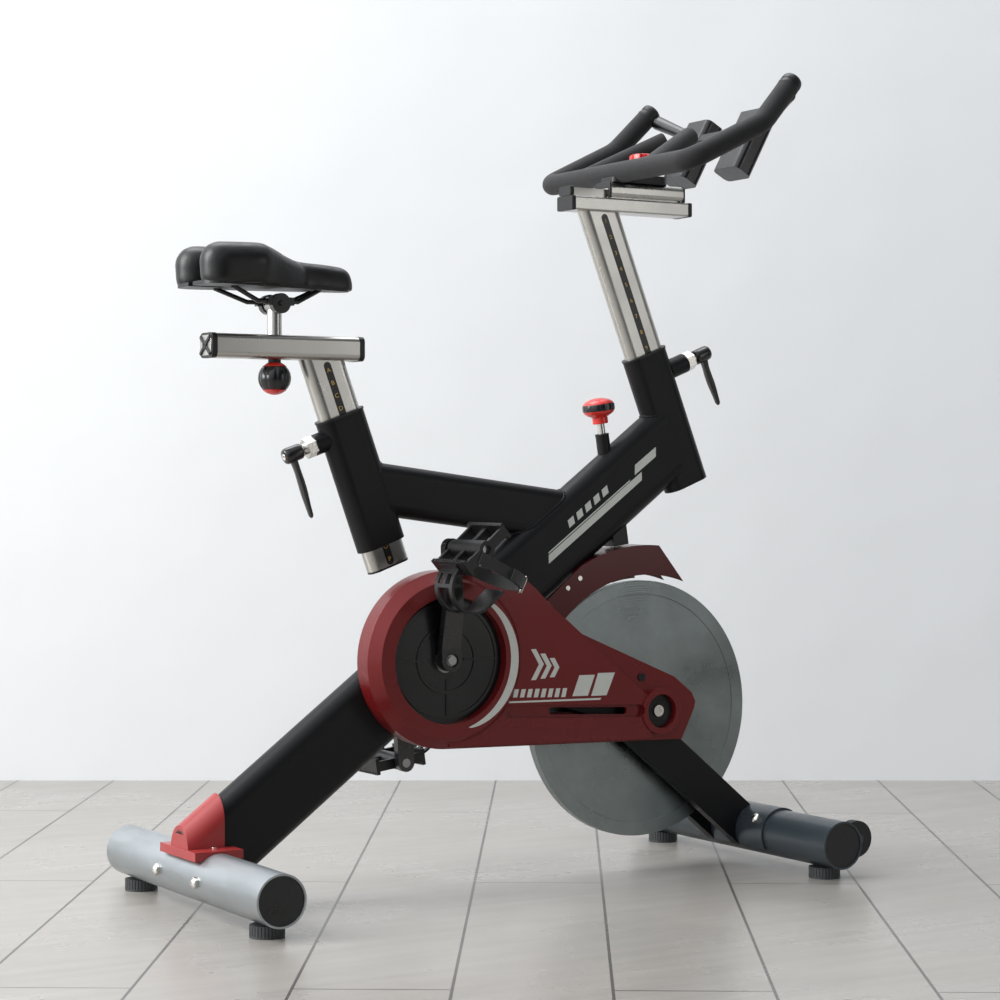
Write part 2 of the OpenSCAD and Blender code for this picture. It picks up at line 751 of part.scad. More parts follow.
// Half of one saddle rod, from the clamp to the front or the back of the base
function rod_points(s) = [[-452, s * 33, 916.6], [-405, s * 19, 897], [-340, s * 19, 897], [-299, s * 9.5, 916.8]];

module saddle_clamp() color("#17181a") in_place() difference() {
    union() {
        for (s = [-1, 1]) {
            across([carriage_x, saddle_pivot_z], s * 13.3, s * 25, 15);
            translate([carriage_x - 21, s * 19 - 5.5, saddle_pivot_z - 3]) cube([42, 11, 12]);
        }
        across([carriage_x, saddle_pivot_z], -29, 29, 4);
    }
    for (s = [-1, 1]) bent_rod(rod_points(s), rail_rod_r);
}

module saddle_rails() color("#1d1e20") in_place() for (s = [-1, 1]) bent_rod(rod_points(s), rail_rod_r);

module ball(p, r) translate(p) sphere(r = r, $fn = 24);

module saddle_cushion() color("#1a1b1d") in_place() difference() {
    union() {
        for (s = [-1, 1]) hull() {
            ball([-478, s * 44, 946], 30);
            ball([-420, s * 48, 950], 27);
            ball([-350, s * 14, 938], 22);
        }
        hull() {
            ball([-420, 0, 944], 27);
            ball([-350, 0, 938], 24);
            ball([-262, 0, 934], 20);
        }
    }
    translate([-600, -200, 850]) cube([400, 400, 72]);
}

module saddle_base() color("#121314") in_place() translate([0, 0, 916]) difference() {
    linear_extrude(5.7) hull() {
        for (s = [-1, 1]) translate([-478, s * 42]) circle(r = 26, $fn = 32);
        translate([-350, 0]) circle(r = 24, $fn = 32);
        translate([-264, 0]) circle(r = 17, $fn = 32);
    }
    translate([-512, -8, -1]) cube([60, 16, 10]);
}

// ---- handlebar ----

module bar_post() color("#c3c5c4") in_place() difference() {
    aim(head_foot, head_angle) translate([0, 0, 80]) oval_pipe(440, post_h, post_w, 3);
    translate([0, -100, bar_rail_z]) cube([500, 200, 200]);
}

module guide_section(grow) translate([0, guide_h / 2]) square([guide_w + 2 * grow, guide_h + 2 * grow], center = true);

module bar_rail() color("#b9bab7") in_place()
    translate([bar_rail_x - bar_rail_length / 2, 0, bar_rail_z]) rotate([90, 0, 90]) linear_extrude(bar_rail_length) {
        translate([0, bar_rail_h / 2]) rounded_square(bar_rail_w, bar_rail_h, 3);
        translate([0, bar_rail_h - eps]) guide_section(0);
    }

module bar_rail_caps() color("#1b1c1e") in_place() {
    for (x = [bar_rail_x - bar_rail_length / 2 - 7, bar_rail_x + bar_rail_length / 2])
        translate([x, 0, bar_rail_z + bar_rail_h / 2]) rail_cap(7, bar_rail_w + 1, bar_rail_h + 1, 3);
    translate([bar_rail_x - bar_rail_length / 2 - 7, 0, bar_rail_z + bar_rail_h + 8.5]) rail_cap(7, guide_w + 8, 15, 3);
}

module bar_sleeve() color("#b9bab7") in_place() difference() {
    translate([sleeve_x - sleeve_length / 2, 0, bar_rail_z + bar_rail_h + 0.1]) rotate([90, 0, 90])
        linear_extrude(sleeve_length) difference() {
            translate([0, sleeve_h / 2]) rounded_square(sleeve_w, sleeve_h, 10);
            translate([-sleeve_w / 2, 0]) square([sleeve_w, 3]);
            guide_section(0.1);
        }
    translate([knob_x, 0, bar_rail_z]) cylinder(h = 100, r = 4 + running);
}

// One outer arm: half the crossbar, a bend, a rising run, and a horn that overlaps the run's end
arm_y = handlebar_width / 2;
arm_rise = 26;
corner_r = 24;
elbow_overlap = 4;
elbow_turn = 21.5;
elbow_roll = -69;
arm_run = 128;
horn_run = 105;

module straight(length) {
    cylinder(h = length, r = grip_r);
    translate([0, 0, length]) children();
}

module bend(radius, turn) {
    translate([radius, 0, 0]) mirror([1, 0, 0]) rotate([90, 0, 0])
        rotate_extrude(angle = turn) translate([radius, 0]) circle(r = grip_r);
    translate([radius, 0, 0]) rotate([0, turn, 0]) translate([-radius, 0, 0]) children();
}

module outer_arm() translate([240, 0, handlebar_z]) rotate([0, -arm_rise, 0]) rotate([-90, 0, 0])
    straight(arm_y - corner_r) bend(corner_r, 90) straight(arm_run)
        rotate([0, 0, elbow_roll]) rotate([0, elbow_turn, 0]) translate([0, 0, -elbow_overlap])
            straight(horn_run + elbow_overlap);

module handlebar() color("#1b1b1c") in_place() {
    both_sides() {
        outer_arm();
        rod([240, 94, handlebar_z], [362, 34, 1191], 16);
    }
    difference() {
        translate([sleeve_x - 30, 0, stem_top - stem_h]) linear_extrude(stem_h) {
            translate([0, -24]) square([76, 48]);
            circle(r = 24);
        }
        translate([knob_x, 0, stem_top - stem_h - 1]) cylinder(h = stem_h + 2, r = 4 + running);
    }
}

module cup() translate([cup_foot[0], cup_y, cup_foot[1]]) rotate([0, cup_tilt, 0]) difference() {
    linear_extrude(cup_h) rounded_square(36, 66, 10);
    translate([0, 0, 4]) linear_extrude(cup_h) rounded_square(30, 60, 7);
    translate([8, -18, 14]) cube([30, 36, cup_h]);
}

module bottle_cages() color("#1a1b1c") in_place() {
    both_sides() {
        cup();
        difference() {
            hull() {
                translate([462, cup_y + 31, 1212]) rotate([90, 0, 0]) cylinder(h = 4, r = 9, $fn = 32);
                translate([448, 186, 1246]) rotate([90, 0, 0]) cylinder(h = 4, r = 12, $fn = 32);
            }
            cup_space();
            outer_arm();
        }
    }
    difference() {
        translate([cup_foot[0], 0, cup_foot[1]]) rotate([0, cup_tilt, 0])
            translate([-16, 27 - cup_y, 70]) cube([7, 2 * cup_y - 54, 12]);
        both_sides() cup_space();
    }
}

module cup_space() translate([cup_foot[0], cup_y, cup_foot[1]]) rotate([0, cup_tilt, 0])
    translate([0, 0, 4]) linear_extrude(cup_h) rounded_square(30, 60, 7);

module bar_knob() color("#d23a36") in_place() translate([knob_x, 0, stem_top + 0.1]) {
    cylinder(h = 14, r = 9);
    translate([0, 0, 12]) cylinder(h = 24, r = 19);
    for (i = [0:7]) rotate(i * 45) translate([19, 0, 13]) cylinder(h = 22, r = 3);
    translate([0, 0, -25]) cylinder(h = 29, r = 4);
}

// ---- levers, brake, wheels and feet ----

module clamp_lever(p, a, from, length, swing) aim(p, a) {
    translate([0, 0, tube_h / 2 + 0.3]) cylinder(h = from - tube_h / 2, r = 5);
    translate([0, 0, from]) {
        cylinder(h = 30, r = 12);
        rotate([0, 0, swing]) translate([0, 0, 17]) rotate([0, 90, 0]) {
            cylinder(h = length, r1 = 9, r2 = 6.5);
            translate([0, 0, length]) sphere(r = 6.5, $fn = 32);
        }
    }
}

module seat_lever() color("#17181a") in_place()
    clamp_lever(seat_lever_at, seat_angle + 90, seat_boss_end + nut_t + 8, 96, 180);

module bar_lever() color("#17181a") in_place()
    clamp_lever(bar_lever_at, head_angle - 90, bar_boss_end + nut_t + 8, 84, 0);

module brake_rod() color("#c9ccce") in_place() brake_line(flywheel_r + pad_gap + 12, 466, brake_rod_r);

module brake_knob() color("#c4332f") in_place() {
    brake_line(466, 478, 12);
    brake_line(478, 500, 26);
    translate([flywheel_x, 0, flywheel_z]) rotate([0, 90 - brake_angle, 0]) translate([0, 0, 500])
        cylinder(h = 8, r1 = 24, r2 = 18);
}

module brake_pad() color("#6b5a45") in_place() intersection() {
    translate([flywheel_x, 0, flywheel_z]) rotate([0, 90 - brake_angle, 0])
        translate([-22, -9, flywheel_r - 10]) cube([44, 18, pad_gap + 22]);
    difference() {
        across([flywheel_x, flywheel_z], -9, 9, flywheel_r + pad_gap + 12, $fn = 128);
        across([flywheel_x, flywheel_z], -10, 10, flywheel_r + pad_gap, $fn = 128);
    }
}

module transport_wheel(s) in_place() difference() {
    across([wheel_x, wheel_z], s * wheel_y - wheel_t / 2, s * wheel_y + wheel_t / 2, wheel_r);
    across([wheel_x, wheel_z], s * wheel_y - wheel_t, s * wheel_y + wheel_t, wheel_pin_r + running);
}

module wheel_right() color("#1a1a1b") transport_wheel(-1);
module wheel_left() color("#1a1a1b") transport_wheel(1);

module foot(x, y) in_place() translate([x, y, 0]) {
    difference() {
        cylinder(h = foot_h - 0.5, d = foot_d);
        for (i = [0:29]) rotate(i * 12) translate([foot_d / 2 + 0.4, 0, 3]) cylinder(h = foot_h, r = 1.4, $fn = 16);
    }
    cylinder(h = foot_h + 28, r = foot_stud_r);
}

module foot_rear_right() color("#4a4d50") foot(-bar_x, -foot_spread / 2);
module foot_rear_left() color("#4a4d50") foot(-bar_x, foot_spread / 2);
module foot_front_right() color("#4a4d50") foot(bar_x, -foot_spread / 2);
module foot_front_left() color("#4a4d50") foot(bar_x, foot_spread / 2);

main_beam();
top_tube();
seat_tube();
head_tube();
fork();
front_band();
front_bar();
rear_bar();
bar_end_caps();
frame_bolts();
rear_bracket();
post_bushings();
tube_bosses();
cover_outer();
cover_inner();
cover_disc();
fender();
brake_bracket();
chain();
bearings();
crank_axle();
chainring();
crank_right();
crank_left();
pedal_spindles();
pedal_right();
toe_cage_right();
toe_strap_right();
pedal_left();
toe_cage_left();
toe_strap_left();
flywheel();
flywheel_axle();
sprocket();
seat_post();
seat_rail();
seat_rail_caps();
saddle_carriage();
seat_knob();
saddle_clamp();
saddle_rails();
saddle_base();
saddle_cushion();
bar_post();
bar_rail();
bar_rail_caps();
bar_sleeve();
handlebar();
bottle_cages();
bar_knob();
seat_lever();
bar_lever();
brake_rod();
brake_knob();
brake_pad();
wheel_right();
wheel_left();
foot_rear_right();
foot_rear_left();
foot_front_right();
foot_front_left();
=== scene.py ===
import math

import bpy
import bmesh
import numpy as np
from mathutils import Matrix, Vector, noise
from mathutils.bvhtree import BVHTree


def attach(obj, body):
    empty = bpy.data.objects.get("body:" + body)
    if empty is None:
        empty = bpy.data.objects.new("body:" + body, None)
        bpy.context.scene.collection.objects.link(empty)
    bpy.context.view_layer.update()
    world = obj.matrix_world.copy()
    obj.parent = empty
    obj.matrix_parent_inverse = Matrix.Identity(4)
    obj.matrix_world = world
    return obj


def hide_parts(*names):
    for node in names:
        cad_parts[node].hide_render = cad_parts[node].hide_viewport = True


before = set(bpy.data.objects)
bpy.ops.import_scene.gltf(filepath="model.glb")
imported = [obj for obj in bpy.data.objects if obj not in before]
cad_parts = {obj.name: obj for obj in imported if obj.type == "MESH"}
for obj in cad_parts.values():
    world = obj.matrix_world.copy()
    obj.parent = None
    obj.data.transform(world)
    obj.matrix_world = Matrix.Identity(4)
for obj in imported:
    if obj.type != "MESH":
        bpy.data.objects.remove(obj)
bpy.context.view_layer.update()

MM = 0.001
SHIFT = -13.0  # from the drawing's x, midway between the bars, to the model's x
Y_AXIS = Vector((0, 1, 0))

# the drawing's lines that the pieces follow: (x, z) points in the side view and the tubes' slopes, in degrees
CRANK, AXLE = (-109, 358.5), (281, 262)
BEAM_ANGLE, BRAKE_ANGLE = 37, 98.7
SEAT_FOOT, SEAT_ANGLE, HEAD_FOOT, HEAD_ANGLE = (-190, 534), 110, (377.5, 624.5), 111.5
BAR_X, BAR_HALF, BAR_Z = 240, 209, 1127  # the handlebar's cross piece, from its middle to its corners


def at(x, y, z):
    """A point of the drawing, in millimetres, as a place in the model."""
    return Vector(((x + SHIFT) * MM, y * MM, z * MM))


def slope(point, angle):
    """The place whose z runs along a slope of the side view from a point, as the tubes do. Millimetres inside."""
    return (Matrix.Translation(at(point[0], 0, point[1])) @ Matrix.Rotation(math.radians(90 - angle), 4, "Y")
            @ Matrix.Scale(MM, 4))


def upright(x, y, z):
    return Matrix.Translation(at(x, y, z)) @ Matrix.Scale(MM, 4)


# ---- camera, light and floor ----

camera_data = bpy.data.cameras.new("camera")
camera_data.lens, camera_data.sensor_width = 87.84, 36
VIEW_TURN, VIEW_DROP = -30.9, 0.587  # the camera's turn round the upright and its dip below level, in degrees
camera = bpy.data.objects.new("camera", camera_data)
camera.location = at(-1945.5, -3287.2, 640)
camera.rotation_euler = (math.radians(90 - VIEW_DROP), 0, math.radians(VIEW_TURN))
bpy.context.scene.collection.objects.link(camera)
bpy.context.scene.camera = camera
bpy.context.scene.view_settings.view_transform = "Standard"

world = bpy.data.worlds.new("studio")
bpy.context.scene.world = world
world.use_nodes = True
nodes, links = world.node_tree.nodes, world.node_tree.links
nodes.clear()


def node(kind, **sockets):
    n = nodes.new(kind)
    for k, v in sockets.items():
        n.inputs[k.replace("_", " ")].default_value = v
    return n


coords = node("ShaderNodeTexCoord")
aim_at_key = node("ShaderNodeVectorMath")
aim_at_key.operation = "DOT_PRODUCT"
aim_at_key.inputs[1].default_value = Vector((-0.72, 0.42, 0.55)).normalized()
links.new(coords.outputs["Generated"], aim_at_key.inputs[0])
ramp = node("ShaderNodeMapRange", From_Min=-0.35, From_Max=1.0, To_Min=0.05, To_Max=1.7)
ramp.interpolation_type = "SMOOTHSTEP"
links.new(aim_at_key.outputs["Value"], ramp.inputs["Value"])
soft = node("ShaderNodeBackground", Color=(0.93, 0.96, 1.0, 1))
links.new(ramp.outputs["Result"], soft.inputs["Strength"])
plain = node("ShaderNodeBackground", Color=(0.845, 0.875, 0.90, 1))
seen = node("ShaderNodeLightPath")
mix = node("ShaderNodeMixShader")
links.new(seen.outputs["Is Camera Ray"], mix.inputs["Fac"])
links.new(soft.outputs[0], mix.inputs[1])
links.new(plain.outputs[0], mix.inputs[2])
links.new(mix.outputs[0], node("ShaderNodeOutputWorld").inputs["Surface"])


def area_light(name, place, target, size, power, colour):
    data = bpy.data.lights.new(name, "AREA")
    data.shape, data.size, data.size_y = "RECTANGLE", size[0], size[1]
    data.energy, data.color = power, colour
    obj = bpy.data.objects.new(name, data)
    obj.location = place
    obj.rotation_euler = (Vector(target) - Vector(place)).to_track_quat("-Z", "Y").to_euler()
    bpy.context.scene.collection.objects.link(obj)


area_light("window", (-3.0, 0.6, 2.1), (0, 0, 0.6), (1.8, 2.6), 130, (1.0, 0.99, 0.97))
area_light("top_soft", (0.3, 0.9, 3.2), (0, 0, 0.5), (2.6, 1.6), 55, (0.97, 0.98, 1.0))
area_light("right_fill", (1.9, -3.1, 1.3), (0, 0, 0.7), (1.2, 2.0), 11, (1.0, 0.99, 0.97))

# ---- materials ----


def material(name, base, rough=0.5, metal=0.0, spread=0.12, spread_scale=9.0, rough_spread=0.06,
             bumps=((400, 0.0002),), edge=0.0008, coat=0.0, coat_rough=0.1, sheen=0.0, specular=0.5, aniso=0.0,
             stretch=(1, 1, 1), rings=None, flakes=0.0, spangle=0.0, fine_colour=0.0):
    """A surface whose colour and gloss wander a little, with fine relief, and edges that catch the light.
    rings = (x, z) turns the fine relief into lines turned round that axis."""
    m = bpy.data.materials.new(name)
    m.use_nodes = True
    t = m.node_tree
    bsdf = t.nodes["Principled BSDF"]

    def make(kind, **sockets):
        n = t.nodes.new(kind)
        for k, v in sockets.items():
            n.inputs[k.replace("_", " ")].default_value = v
        return n

    def tone(c, f):
        return tuple(min(1.0, x * f) for x in c) + (1,)

    coord = make("ShaderNodeTexCoord")
    mapped = make("ShaderNodeMapping", Scale=stretch)
    t.links.new(coord.outputs["Object"], mapped.inputs["Vector"])
    vector = mapped.outputs["Vector"]
    broad = make("ShaderNodeTexNoise", Scale=spread_scale, Detail=4.0, Roughness=0.6)
    t.links.new(vector, broad.inputs["Vector"])
    colour = make("ShaderNodeMix")
    colour.data_type = "RGBA"
    colour.inputs[6].default_value = tone(base, 1 - spread)
    colour.inputs[7].default_value = tone(base, 1 + spread)
    t.links.new(broad.outputs["Fac"], colour.inputs[0])
    result = colour.outputs[2]
    if spangle:
        cells = make("ShaderNodeTexVoronoi", Scale=70.0)
        t.links.new(vector, cells.inputs["Vector"])
        grey = make("ShaderNodeSeparateColor")
        t.links.new(cells.outputs["Color"], grey.inputs[0])
        level = make("ShaderNodeMapRange", To_Min=1 - spangle, To_Max=1 + spangle)
        t.links.new(grey.outputs[0], level.inputs["Value"])
        lit = make("ShaderNodeVectorMath")
        lit.operation = "SCALE"
        t.links.new(result, lit.inputs[0])
        t.links.new(level.outputs["Result"], lit.inputs["Scale"])
        result = lit.outputs["Vector"]
    if flakes or fine_colour:
        grain = make("ShaderNodeTexNoise", Scale=1900.0 if flakes else 900.0, Detail=1.0)
        t.links.new(vector, grain.inputs["Vector"])
        amount = flakes or fine_colour
        level = make("ShaderNodeMapRange", From_Min=0.3, From_Max=0.7, To_Min=1 - amount, To_Max=1 + amount)
        t.links.new(grain.outputs["Fac"], level.inputs["Value"])
        lit = make("ShaderNodeVectorMath")
        lit.operation = "SCALE"
        t.links.new(result, lit.inputs[0])
        t.links.new(level.outputs["Result"], lit.inputs["Scale"])
        result = lit.outputs["Vector"]
    t.links.new(result, bsdf.inputs["Base Color"])
    gloss = make("ShaderNodeMapRange", From_Min=0.3, From_Max=0.7, To_Min=max(0.02, rough - rough_spread),
                 To_Max=min(1.0, rough + rough_spread))
    t.links.new(broad.outputs["Fac"], gloss.inputs["Value"])
    t.links.new(gloss.outputs["Result"], bsdf.inputs["Roughness"])
    normal = None
    if edge:
        bevel = make("ShaderNodeBevel", Radius=edge)
        bevel.samples = 4
        normal = bevel.outputs["Normal"]
    for scale, depth in bumps:
        if rings:
            parts = make("ShaderNodeSeparateXYZ")
            t.links.new(coord.outputs["Object"], parts.inputs[0])
            legs = []
            for k, centre in ((0, rings[0]), (2, rings[1])):
                off = make("ShaderNodeMath")
                off.operation = "SUBTRACT"
                off.inputs[1].default_value = centre
                t.links.new(parts.outputs[k], off.inputs[0])
                square = make("ShaderNodeMath")
                square.operation = "MULTIPLY"
                t.links.new(off.outputs[0], square.inputs[0])
                t.links.new(off.outputs[0], square.inputs[1])
                legs.append(square)
            total = make("ShaderNodeMath")
            total.operation = "ADD"
            t.links.new(legs[0].outputs[0], total.inputs[0])
            t.links.new(legs[1].outputs[0], total.inputs[1])
            radius = make("ShaderNodeMath")
            radius.operation = "SQRT"
            t.links.new(total.outputs[0], radius.inputs[0])
            line = make("ShaderNodeTexNoise", Scale=scale, Detail=2.0)
            line.noise_dimensions = "1D"
            t.links.new(radius.outputs[0], line.inputs["W"])
            height = line.outputs["Fac"]
        else:
            fine = make("ShaderNodeTexNoise", Scale=scale, Detail=2.0)
            t.links.new(vector, fine.inputs["Vector"])
            height = fine.outputs["Fac"]
        bump = make("ShaderNodeBump", Strength=0.6, Distance=depth)
        t.links.new(height, bump.inputs["Height"])
        if normal is not None:
            t.links.new(normal, bump.inputs["Normal"])
        normal = bump.outputs["Normal"]
    if normal is not None:
        t.links.new(normal, bsdf.inputs["Normal"])
    bsdf.inputs["Metallic"].default_value = metal
    bsdf.inputs["Coat Weight"].default_value = coat
    bsdf.inputs["Coat Roughness"].default_value = coat_rough
    bsdf.inputs["Sheen Weight"].default_value = sheen
    bsdf.inputs["Specular IOR Level"].default_value = specular
    bsdf.inputs["Anisotropic"].default_value = aniso
    return m


POWDER = material("powder_coat", (0.0052, 0.0054, 0.0064), 0.4, spread=0.2, bumps=((900, 0.00025), (2600, 0.0001)),
                  specular=0.26)
GALVANISED = material("galvanised", (0.42, 0.45, 0.47), 0.36, 1.0, spread=0.14, spread_scale=14, spangle=0.05,
                      stretch=(1, 0.25, 1), bumps=((500, 0.0001),), rough_spread=0.08, edge=0.0006)
BLUE_GREY = material("blue_grey_paint", (0.045, 0.058, 0.068), 0.34, 0.35, spread=0.22, spread_scale=12,
                     bumps=((800, 0.0001),), coat=0.25, coat_rough=0.25, rough_spread=0.1)
PLASTIC = material("black_plastic", (0.0062, 0.0062, 0.0068), 0.42, spread=0.15, bumps=((1500, 0.0002),))
GLOSS_BLACK = material("gloss_black", (0.0045, 0.0045, 0.0052), 0.24, spread=0.15, bumps=((60, 0.0003),), coat=0.25,
                       coat_rough=0.08)
DISC_BLACK = material("disc_black", (0.0045, 0.0045, 0.005), 0.22, spread=0.2, bumps=((300, 0.0001),))
CAP_BLACK = material("cap_black", (0.010, 0.011, 0.012), 0.4, spread=0.75, spread_scale=30, bumps=((90, 0.0008),),
                     rough_spread=0.18)
NICKEL = material("nickel", (0.72, 0.70, 0.66), 0.2, 1.0, spread=0.08, spread_scale=60, bumps=((300, 0.0001),),
                  rough_spread=0.08)
MAROON = material("maroon_metallic", (0.145, 0.0075, 0.0085), 0.3, 0.25, spread=0.1, spread_scale=6, flakes=0.3,
                  bumps=((120, 0.00015),), coat=0.22, coat_rough=0.1, specular=0.35, edge=0.0018)
MAROON_DARK = material("maroon_fender", (0.07, 0.007, 0.008), 0.33, 0.3, spread=0.1, spread_scale=6, flakes=0.25,
                       bumps=((120, 0.0002),), coat=0.2, coat_rough=0.12, specular=0.35, edge=0.0018)
RED_SATIN = material("red_satin", (0.30, 0.022, 0.022), 0.36, spread=0.1, spread_scale=20, bumps=((700, 0.00015),),
                     coat=0.3, coat_rough=0.2, edge=0.0012)
RED = material("red_gloss", (0.66, 0.022, 0.016), 0.24, spread=0.06, bumps=((200, 0.0001),), coat=0.5)
STEEL = material("steel", (0.36, 0.36, 0.36), 0.34, 1.0, spread=0.15, spread_scale=40, bumps=((700, 0.0001),),
                 rough_spread=0.1)
CHAIN_STEEL = material("chain_steel", (0.10, 0.10, 0.10), 0.45, 0.9, spread=0.2, spread_scale=90,
                       bumps=((500, 0.0002),))
CRANK_BLACK = material("crank_black", (0.0055, 0.0055, 0.006), 0.26, spread=0.2, bumps=((500, 0.0001),), coat=0.4,
                       coat_rough=0.12, edge=0.0015)
NYLON = material("pedal_nylon", (0.0058, 0.0058, 0.0064), 0.38, spread=0.25, spread_scale=40, bumps=((1200, 0.0003),),
                 edge=0.001)
WEBBING = material("webbing", (0.014, 0.014, 0.0145), 0.62, spread=0.3, spread_scale=300, bumps=((1600, 0.0005),),
                   sheen=0.15)
WHEEL_STEEL = material("flywheel_steel", (0.25, 0.285, 0.285), 0.3, 1.0, spread=0.62, spread_scale=7,
                       bumps=((1500, 0.00006), (350, 0.00012)), rings=((AXLE[0] + SHIFT) * MM, AXLE[1] * MM), rough_spread=0.09,
                       edge=0.0012, aniso=0.3)
ALUMINIUM = material("aluminium", (0.56, 0.55, 0.52), 0.3, 1.0, spread=0.05, spread_scale=30, stretch=(0.3, 4, 0.3),
                     bumps=((900, 0.00008),), rough_spread=0.05, edge=0.0007, aniso=0.3)
FOAM = material("foam", (0.0115, 0.0115, 0.0125), 0.74, spread=0.12, spread_scale=60, fine_colour=0.3,
                bumps=((700, 0.0009), (2200, 0.0005)), specular=0.3, edge=0, sheen=0.12)
VINYL = material("saddle_vinyl", (0.0052, 0.0052, 0.0058), 0.36, spread=0.2, spread_scale=40,
                 bumps=((1100, 0.0003), (260, 0.0002)), specular=0.5, edge=0, rough_spread=0.09)
RUBBER = material("rubber", (0.012, 0.012, 0.0125), 0.6, spread=0.3, bumps=((900, 0.0004),))
FOOT = material("foot_plastic", (0.035, 0.038, 0.04), 0.42, spread=0.5, spread_scale=90, bumps=((500, 0.0004),))
FELT = material("felt", (0.16, 0.12, 0.08), 0.9, spread=0.25, spread_scale=200, bumps=((1500, 0.0008),), sheen=0.4)
WHITE_FILM = material("white_film", (0.60, 0.62, 0.58), 0.45, spread=0.05, spread_scale=80, fine_colour=0.06,
                      bumps=((1500, 0.00004),), edge=0)
GOLD_PRINT = material("gold_print", (0.62, 0.40, 0.07), 0.4, spread=0.08, bumps=((1500, 0.00003),), edge=0)
SCALE_BLACK = material("scale_black", (0.008, 0.008, 0.008), 0.3, spread=0.1, bumps=((900, 0.00003),), edge=0)
# painted shade: a near-black that stands in for the shadow deep in the cover's recesses, on the ring round the axle and
# the screw's cap
RECESS_SHADE = material("painted_recess_shade", (0.004, 0.004, 0.004), 0.6, spread=0.1, bumps=((900, 0.0001),), edge=0)

LOOKS = {
    "main_beam": POWDER, "top_tube": POWDER, "seat_tube": POWDER, "head_tube": POWDER, "fork": POWDER,
    "front_bar": BLUE_GREY, "front_band": BLUE_GREY, "rear_bar": GALVANISED, "bar_end_caps": CAP_BLACK,
    "frame_bolts": NICKEL,
    "rear_bracket": RED_SATIN, "post_bushings": PLASTIC, "tube_bosses": POWDER, "cover_outer": MAROON,
    "cover_inner": MAROON, "cover_disc": DISC_BLACK, "fender": MAROON_DARK, "brake_bracket": PLASTIC,
    "chain": CHAIN_STEEL, "bearings": STEEL, "crank_axle": STEEL, "chainring": STEEL, "crank_right": CRANK_BLACK,
    "crank_left": CRANK_BLACK, "pedal_spindles": STEEL, "pedal_right": NYLON, "toe_cage_right": NYLON,
    "toe_strap_right": WEBBING, "pedal_left": NYLON, "toe_cage_left": NYLON, "toe_strap_left": WEBBING,
    "flywheel": WHEEL_STEEL, "flywheel_axle": NICKEL, "sprocket": STEEL, "seat_post": ALUMINIUM,
    "seat_rail": ALUMINIUM, "seat_rail_caps": PLASTIC, "saddle_carriage": ALUMINIUM, "seat_knob": GLOSS_BLACK,
    "saddle_clamp": CRANK_BLACK, "saddle_rails": CRANK_BLACK, "saddle_base": PLASTIC, "saddle_cushion": VINYL,
    "bar_post": ALUMINIUM, "bar_rail": ALUMINIUM, "bar_rail_caps": PLASTIC, "bar_sleeve": ALUMINIUM,
    "handlebar": FOAM, "bottle_cages": GLOSS_BLACK, "bar_knob": RED, "seat_lever": CRANK_BLACK,
    "bar_lever": CRANK_BLACK, "brake_rod": NICKEL, "brake_knob": RED, "brake_pad": FELT, "wheel_right": RUBBER,
    "wheel_left": RUBBER, "foot_rear_right": FOOT, "foot_rear_left": FOOT, "foot_front_right": FOOT,
    "foot_front_left": FOOT,
}
for name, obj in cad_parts.items():
    obj.data.materials.clear()
    obj.data.materials.append(LOOKS[name])

# ---- mesh helpers ----


def piece(name, verts, faces, mat, body, replaces=(), smooth=40, place=None):
    """A new piece from points and faces. smooth is the angle, in degrees, above which an edge stays sharp."""
    mesh = bpy.data.meshes.new(name)
    mesh.from_pydata([tuple(v) for v in verts], [], faces)
    if place is not None:
        mesh.transform(place)
    bm = bmesh.new()
    bm.from_mesh(mesh)
    bmesh.ops.recalc_face_normals(bm, faces=bm.faces)
    bm.to_mesh(mesh)
    bm.free()
    return finish_piece(name, mesh, mat, body, replaces, smooth)


def finish_piece(name, mesh, mat, body, replaces=(), smooth=40):
    mesh.materials.append(mat)
    obj = bpy.data.objects.new(name, mesh)
    bpy.context.scene.collection.objects.link(obj)
    if smooth:
        mesh.shade_smooth()
        mesh.set_sharp_from_angle(angle=math.radians(smooth))
    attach(obj, body)
    if replaces:
        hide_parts(*replaces)
    return obj


def rings_mesh(rings, closed_ends=True, loop=False):
    """Points and faces that join rings of equally many points."""
    n = len(rings[0])
    verts = [p for r in rings for p in r]
    faces = []
    for i in range(len(rings) - 1 + loop):
        a, b = i * n, ((i + 1) % len(rings)) * n
        faces += [(a + j, a + (j + 1) % n, b + (j + 1) % n, b + j) for j in range(n)]
    if closed_ends and not loop:
        faces += [tuple(range(n))[::-1], tuple(range(len(verts) - n, len(verts)))]
    return verts, faces


def lathe(profile, segments=64, flutes=0, flute_depth=0.0, flute_from=None):
    """A turned shape from (radius, height) points. flutes cut or raise ribs along the points between flute_from."""
    rings = []
    for i, (r, z) in enumerate(profile):
        ring = []
        for j in range(segments):
            a = 2 * math.pi * j / segments
            k = r
            if flutes and flute_from and flute_from[0] <= i <= flute_from[1]:
                k = r + flute_depth * max(0.0, math.cos(flutes * a)) ** 3
            ring.append((max(k, 1e-4) * math.cos(a), max(k, 1e-4) * math.sin(a), z))
        rings.append(ring)
    return rings_mesh(rings)


def path_frames(points):
    """A direction and two cross directions at each point of a path, without twist."""
    pts = [Vector(p) for p in points]
    dirs = []
    for i in range(len(pts)):
        a, b = pts[max(i - 1, 0)], pts[min(i + 1, len(pts) - 1)]
        dirs.append((b - a).normalized())
    up = Vector((0, 0, 1)) if abs(dirs[0].z) < 0.9 else Vector((1, 0, 0))
    side = dirs[0].cross(up).normalized()
    out = []
    for i, d in enumerate(dirs):
        side = (side - d * side.dot(d)).normalized()
        out.append((pts[i], d, side, d.cross(side)))
    return out


